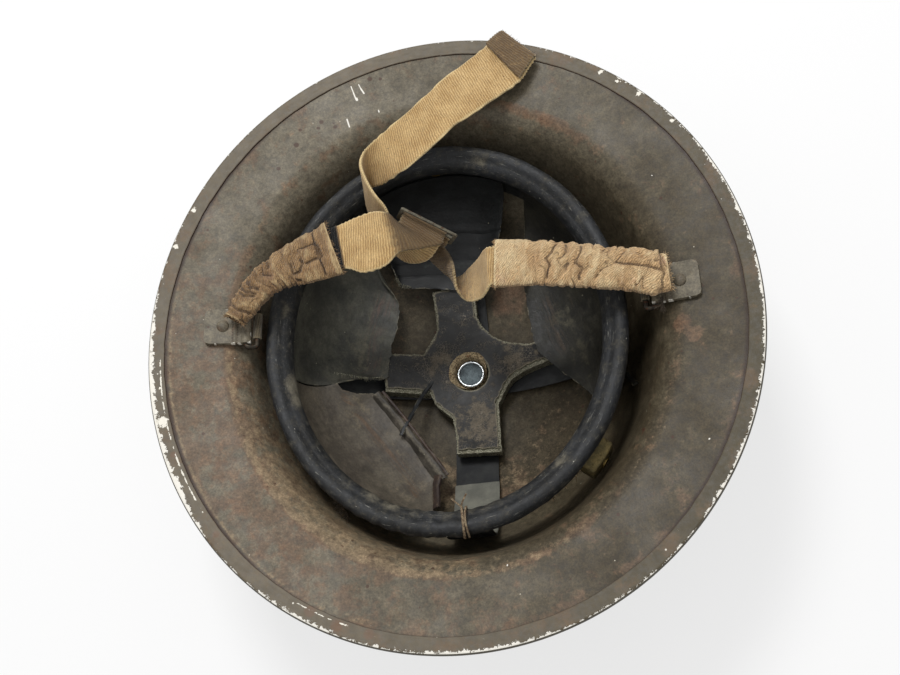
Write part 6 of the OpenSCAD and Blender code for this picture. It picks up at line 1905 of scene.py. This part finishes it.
def declare_cloth():
    """Flat size, how it is held, what it rests on, cut area and trimmings of every sheet, in metres; only the
    trimmings are looked up here.
    """
    pieces = bpy.data.objects
    table = [
        ("cracked_pad_cover", (0.096, 0.098), "stretched", "felt_pad", 0.0036, ["torn_pad_lace"]),
        ("back_flap", (0.078, 0.066), "hung", "oilcloth_lining", 0.0049, ["back_flap_fray"]),
        ("left_flap", (0.086, 0.066), "hung", "oilcloth_lining", 0.0053, ["left_flap_fray"]),
        ("front_left_flap", (0.088, 0.066), "hung", "oilcloth_lining", 0.0054,
         ["rolled_flap_edge", "torn_flap_binding", "torn_flap_tip"]),
        ("right_flap", (0.112, 0.062), "hung", "oilcloth_lining", 0.0061, ["torn_right_binding"]),
        ("oilcloth_lining", (0.554, 0.0206), "stretched", "fibre_headband", 0.0114, []),
        ("strap_end_patch", (0.0235, 0.050), "stretched", "long_strap", 0.00117, []),
        ("gathered_sleeve_left", (0.052, 0.061), "gathered", "coil_springs_left", 0.00305,
         ["sleeve_fuzz_left", "sleeve_fuzz_left_lug"]),
        ("gathered_sleeve_right", (0.058, 0.082), "gathered", "coil_springs_right", 0.0045,
         ["sleeve_fuzz_right", "sleeve_fuzz_right_lug"]),
        ("long_webbing", (LONG_WIDTH, LONG_LENGTH), "folded", "worn_buckle", LONG_WIDTH * LONG_LENGTH,
         ["webbing_end_fuzz"]),
        ("short_webbing", (SHORT_WIDTH, SHORT_LENGTH), "folded", "worn_buckle", SHORT_WIDTH * SHORT_LENGTH, []),
        ("cloth_tab_left", (0.013, 0.0132), "stretched", "wire_loop_left", 0.00015, []),
        ("cloth_tab_right", (0.013, 0.0132), "stretched", "wire_loop_right", 0.00015, []),
    ]
    for name, flat, held, under, area, trimmings in table:
        [pieces[trim] for trim in trimmings]


def dress_cad_nodes():
    """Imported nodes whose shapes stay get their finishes."""
    finishes = {
        "crown_screw": SCREW_END, "wire_loop_left": WIRE, "wire_loop_right": WIRE,
        "frame_rivets": BRASS, "buffer_rivets": BRASS,
    }
    for name, material in finishes.items():
        mesh = frame["nodes"][name].data
        mesh.materials.clear()
        mesh.materials.append(material)


make_shell()
make_rim_strip()
for side, hand in HANDS:
    make_lug(side, f"painted_lug_{hand}", f"lug_{hand}")
make_lug_rivets()
for side, hand in HANDS:
    make_strap_tab(side, f"cloth_tab_{hand}", f"strap_tab_{hand}", f"loop_{hand}")
make_oval_wall("oilcloth_lining", "headband_lining", 0.0, LINING_SHEET, LINING, "oilcloth", 0.5)
make_oval_wall("fibre_headband", "headband", LINING_SHEET + SEAT_GAP, LINING_SHEET + SEAT_GAP + HEADBAND_SHEET,
               BOARD, "fibre", 0.0)
make_roll()
make_frame_strap(1, LONG_LOW, "long_strap", "frame_strap_long", 0.05)
make_frame_strap(0, CROSS_LOW, "cross_strap", "frame_strap_cross", 0.5)
make_strap_patch()
make_pad()
make_washer()
make_nut()
make_tongues()
make_torn_trim()
make_buffers()
make_tie()
make_sleeve("gathered_sleeve_left", "sleeve_left", LEFT_SLEEVE, LEFT_COTTON, 101, LEFT_CREASES,
            ((0, 44, 50, 62), (1, 1, 0.2, 0.2)))
make_sleeve("gathered_sleeve_right", "sleeve_right", RIGHT_SLEEVE, RIGHT_COTTON, 111, RIGHT_CREASES,
            ((0, 62, 67, 80), (1, 1, 0.15, 0.15)))
make_springs("coil_springs_left", "springs_left", LEFT_SLEEVE)
make_springs("coil_springs_right", "springs_right", RIGHT_SLEEVE)
# Long webbing: 2 over its first 7.8 mm paints a near-black shadow in the left sleeve's mouth; 0.65 to 0.8 over
# 37 to 60 mm is a rust stain with painted shade of the fold into the buckle; its folded last 13 mm is darker.
LONG_LENGTH, LONG_WIDTH = make_webbing(
    "long_webbing", "webbing_long", long_stations(), 121,
    ((0, 7.8, 8.0, 28, 37, 60, 70, 84), (2, 2, 0, 0.1, 0.65, 0.8, 0.3, 0)), 0.62)
SHORT_LENGTH, SHORT_WIDTH = make_webbing(
    "short_webbing", "webbing_short", short_stations(), 131, ((0, 10, 34, 58, 80), (0.6, 0.6, 0.6, 0.45, 0.1)))
make_buckle()
make_frays()
declare_cloth()
dress_cad_nodes()
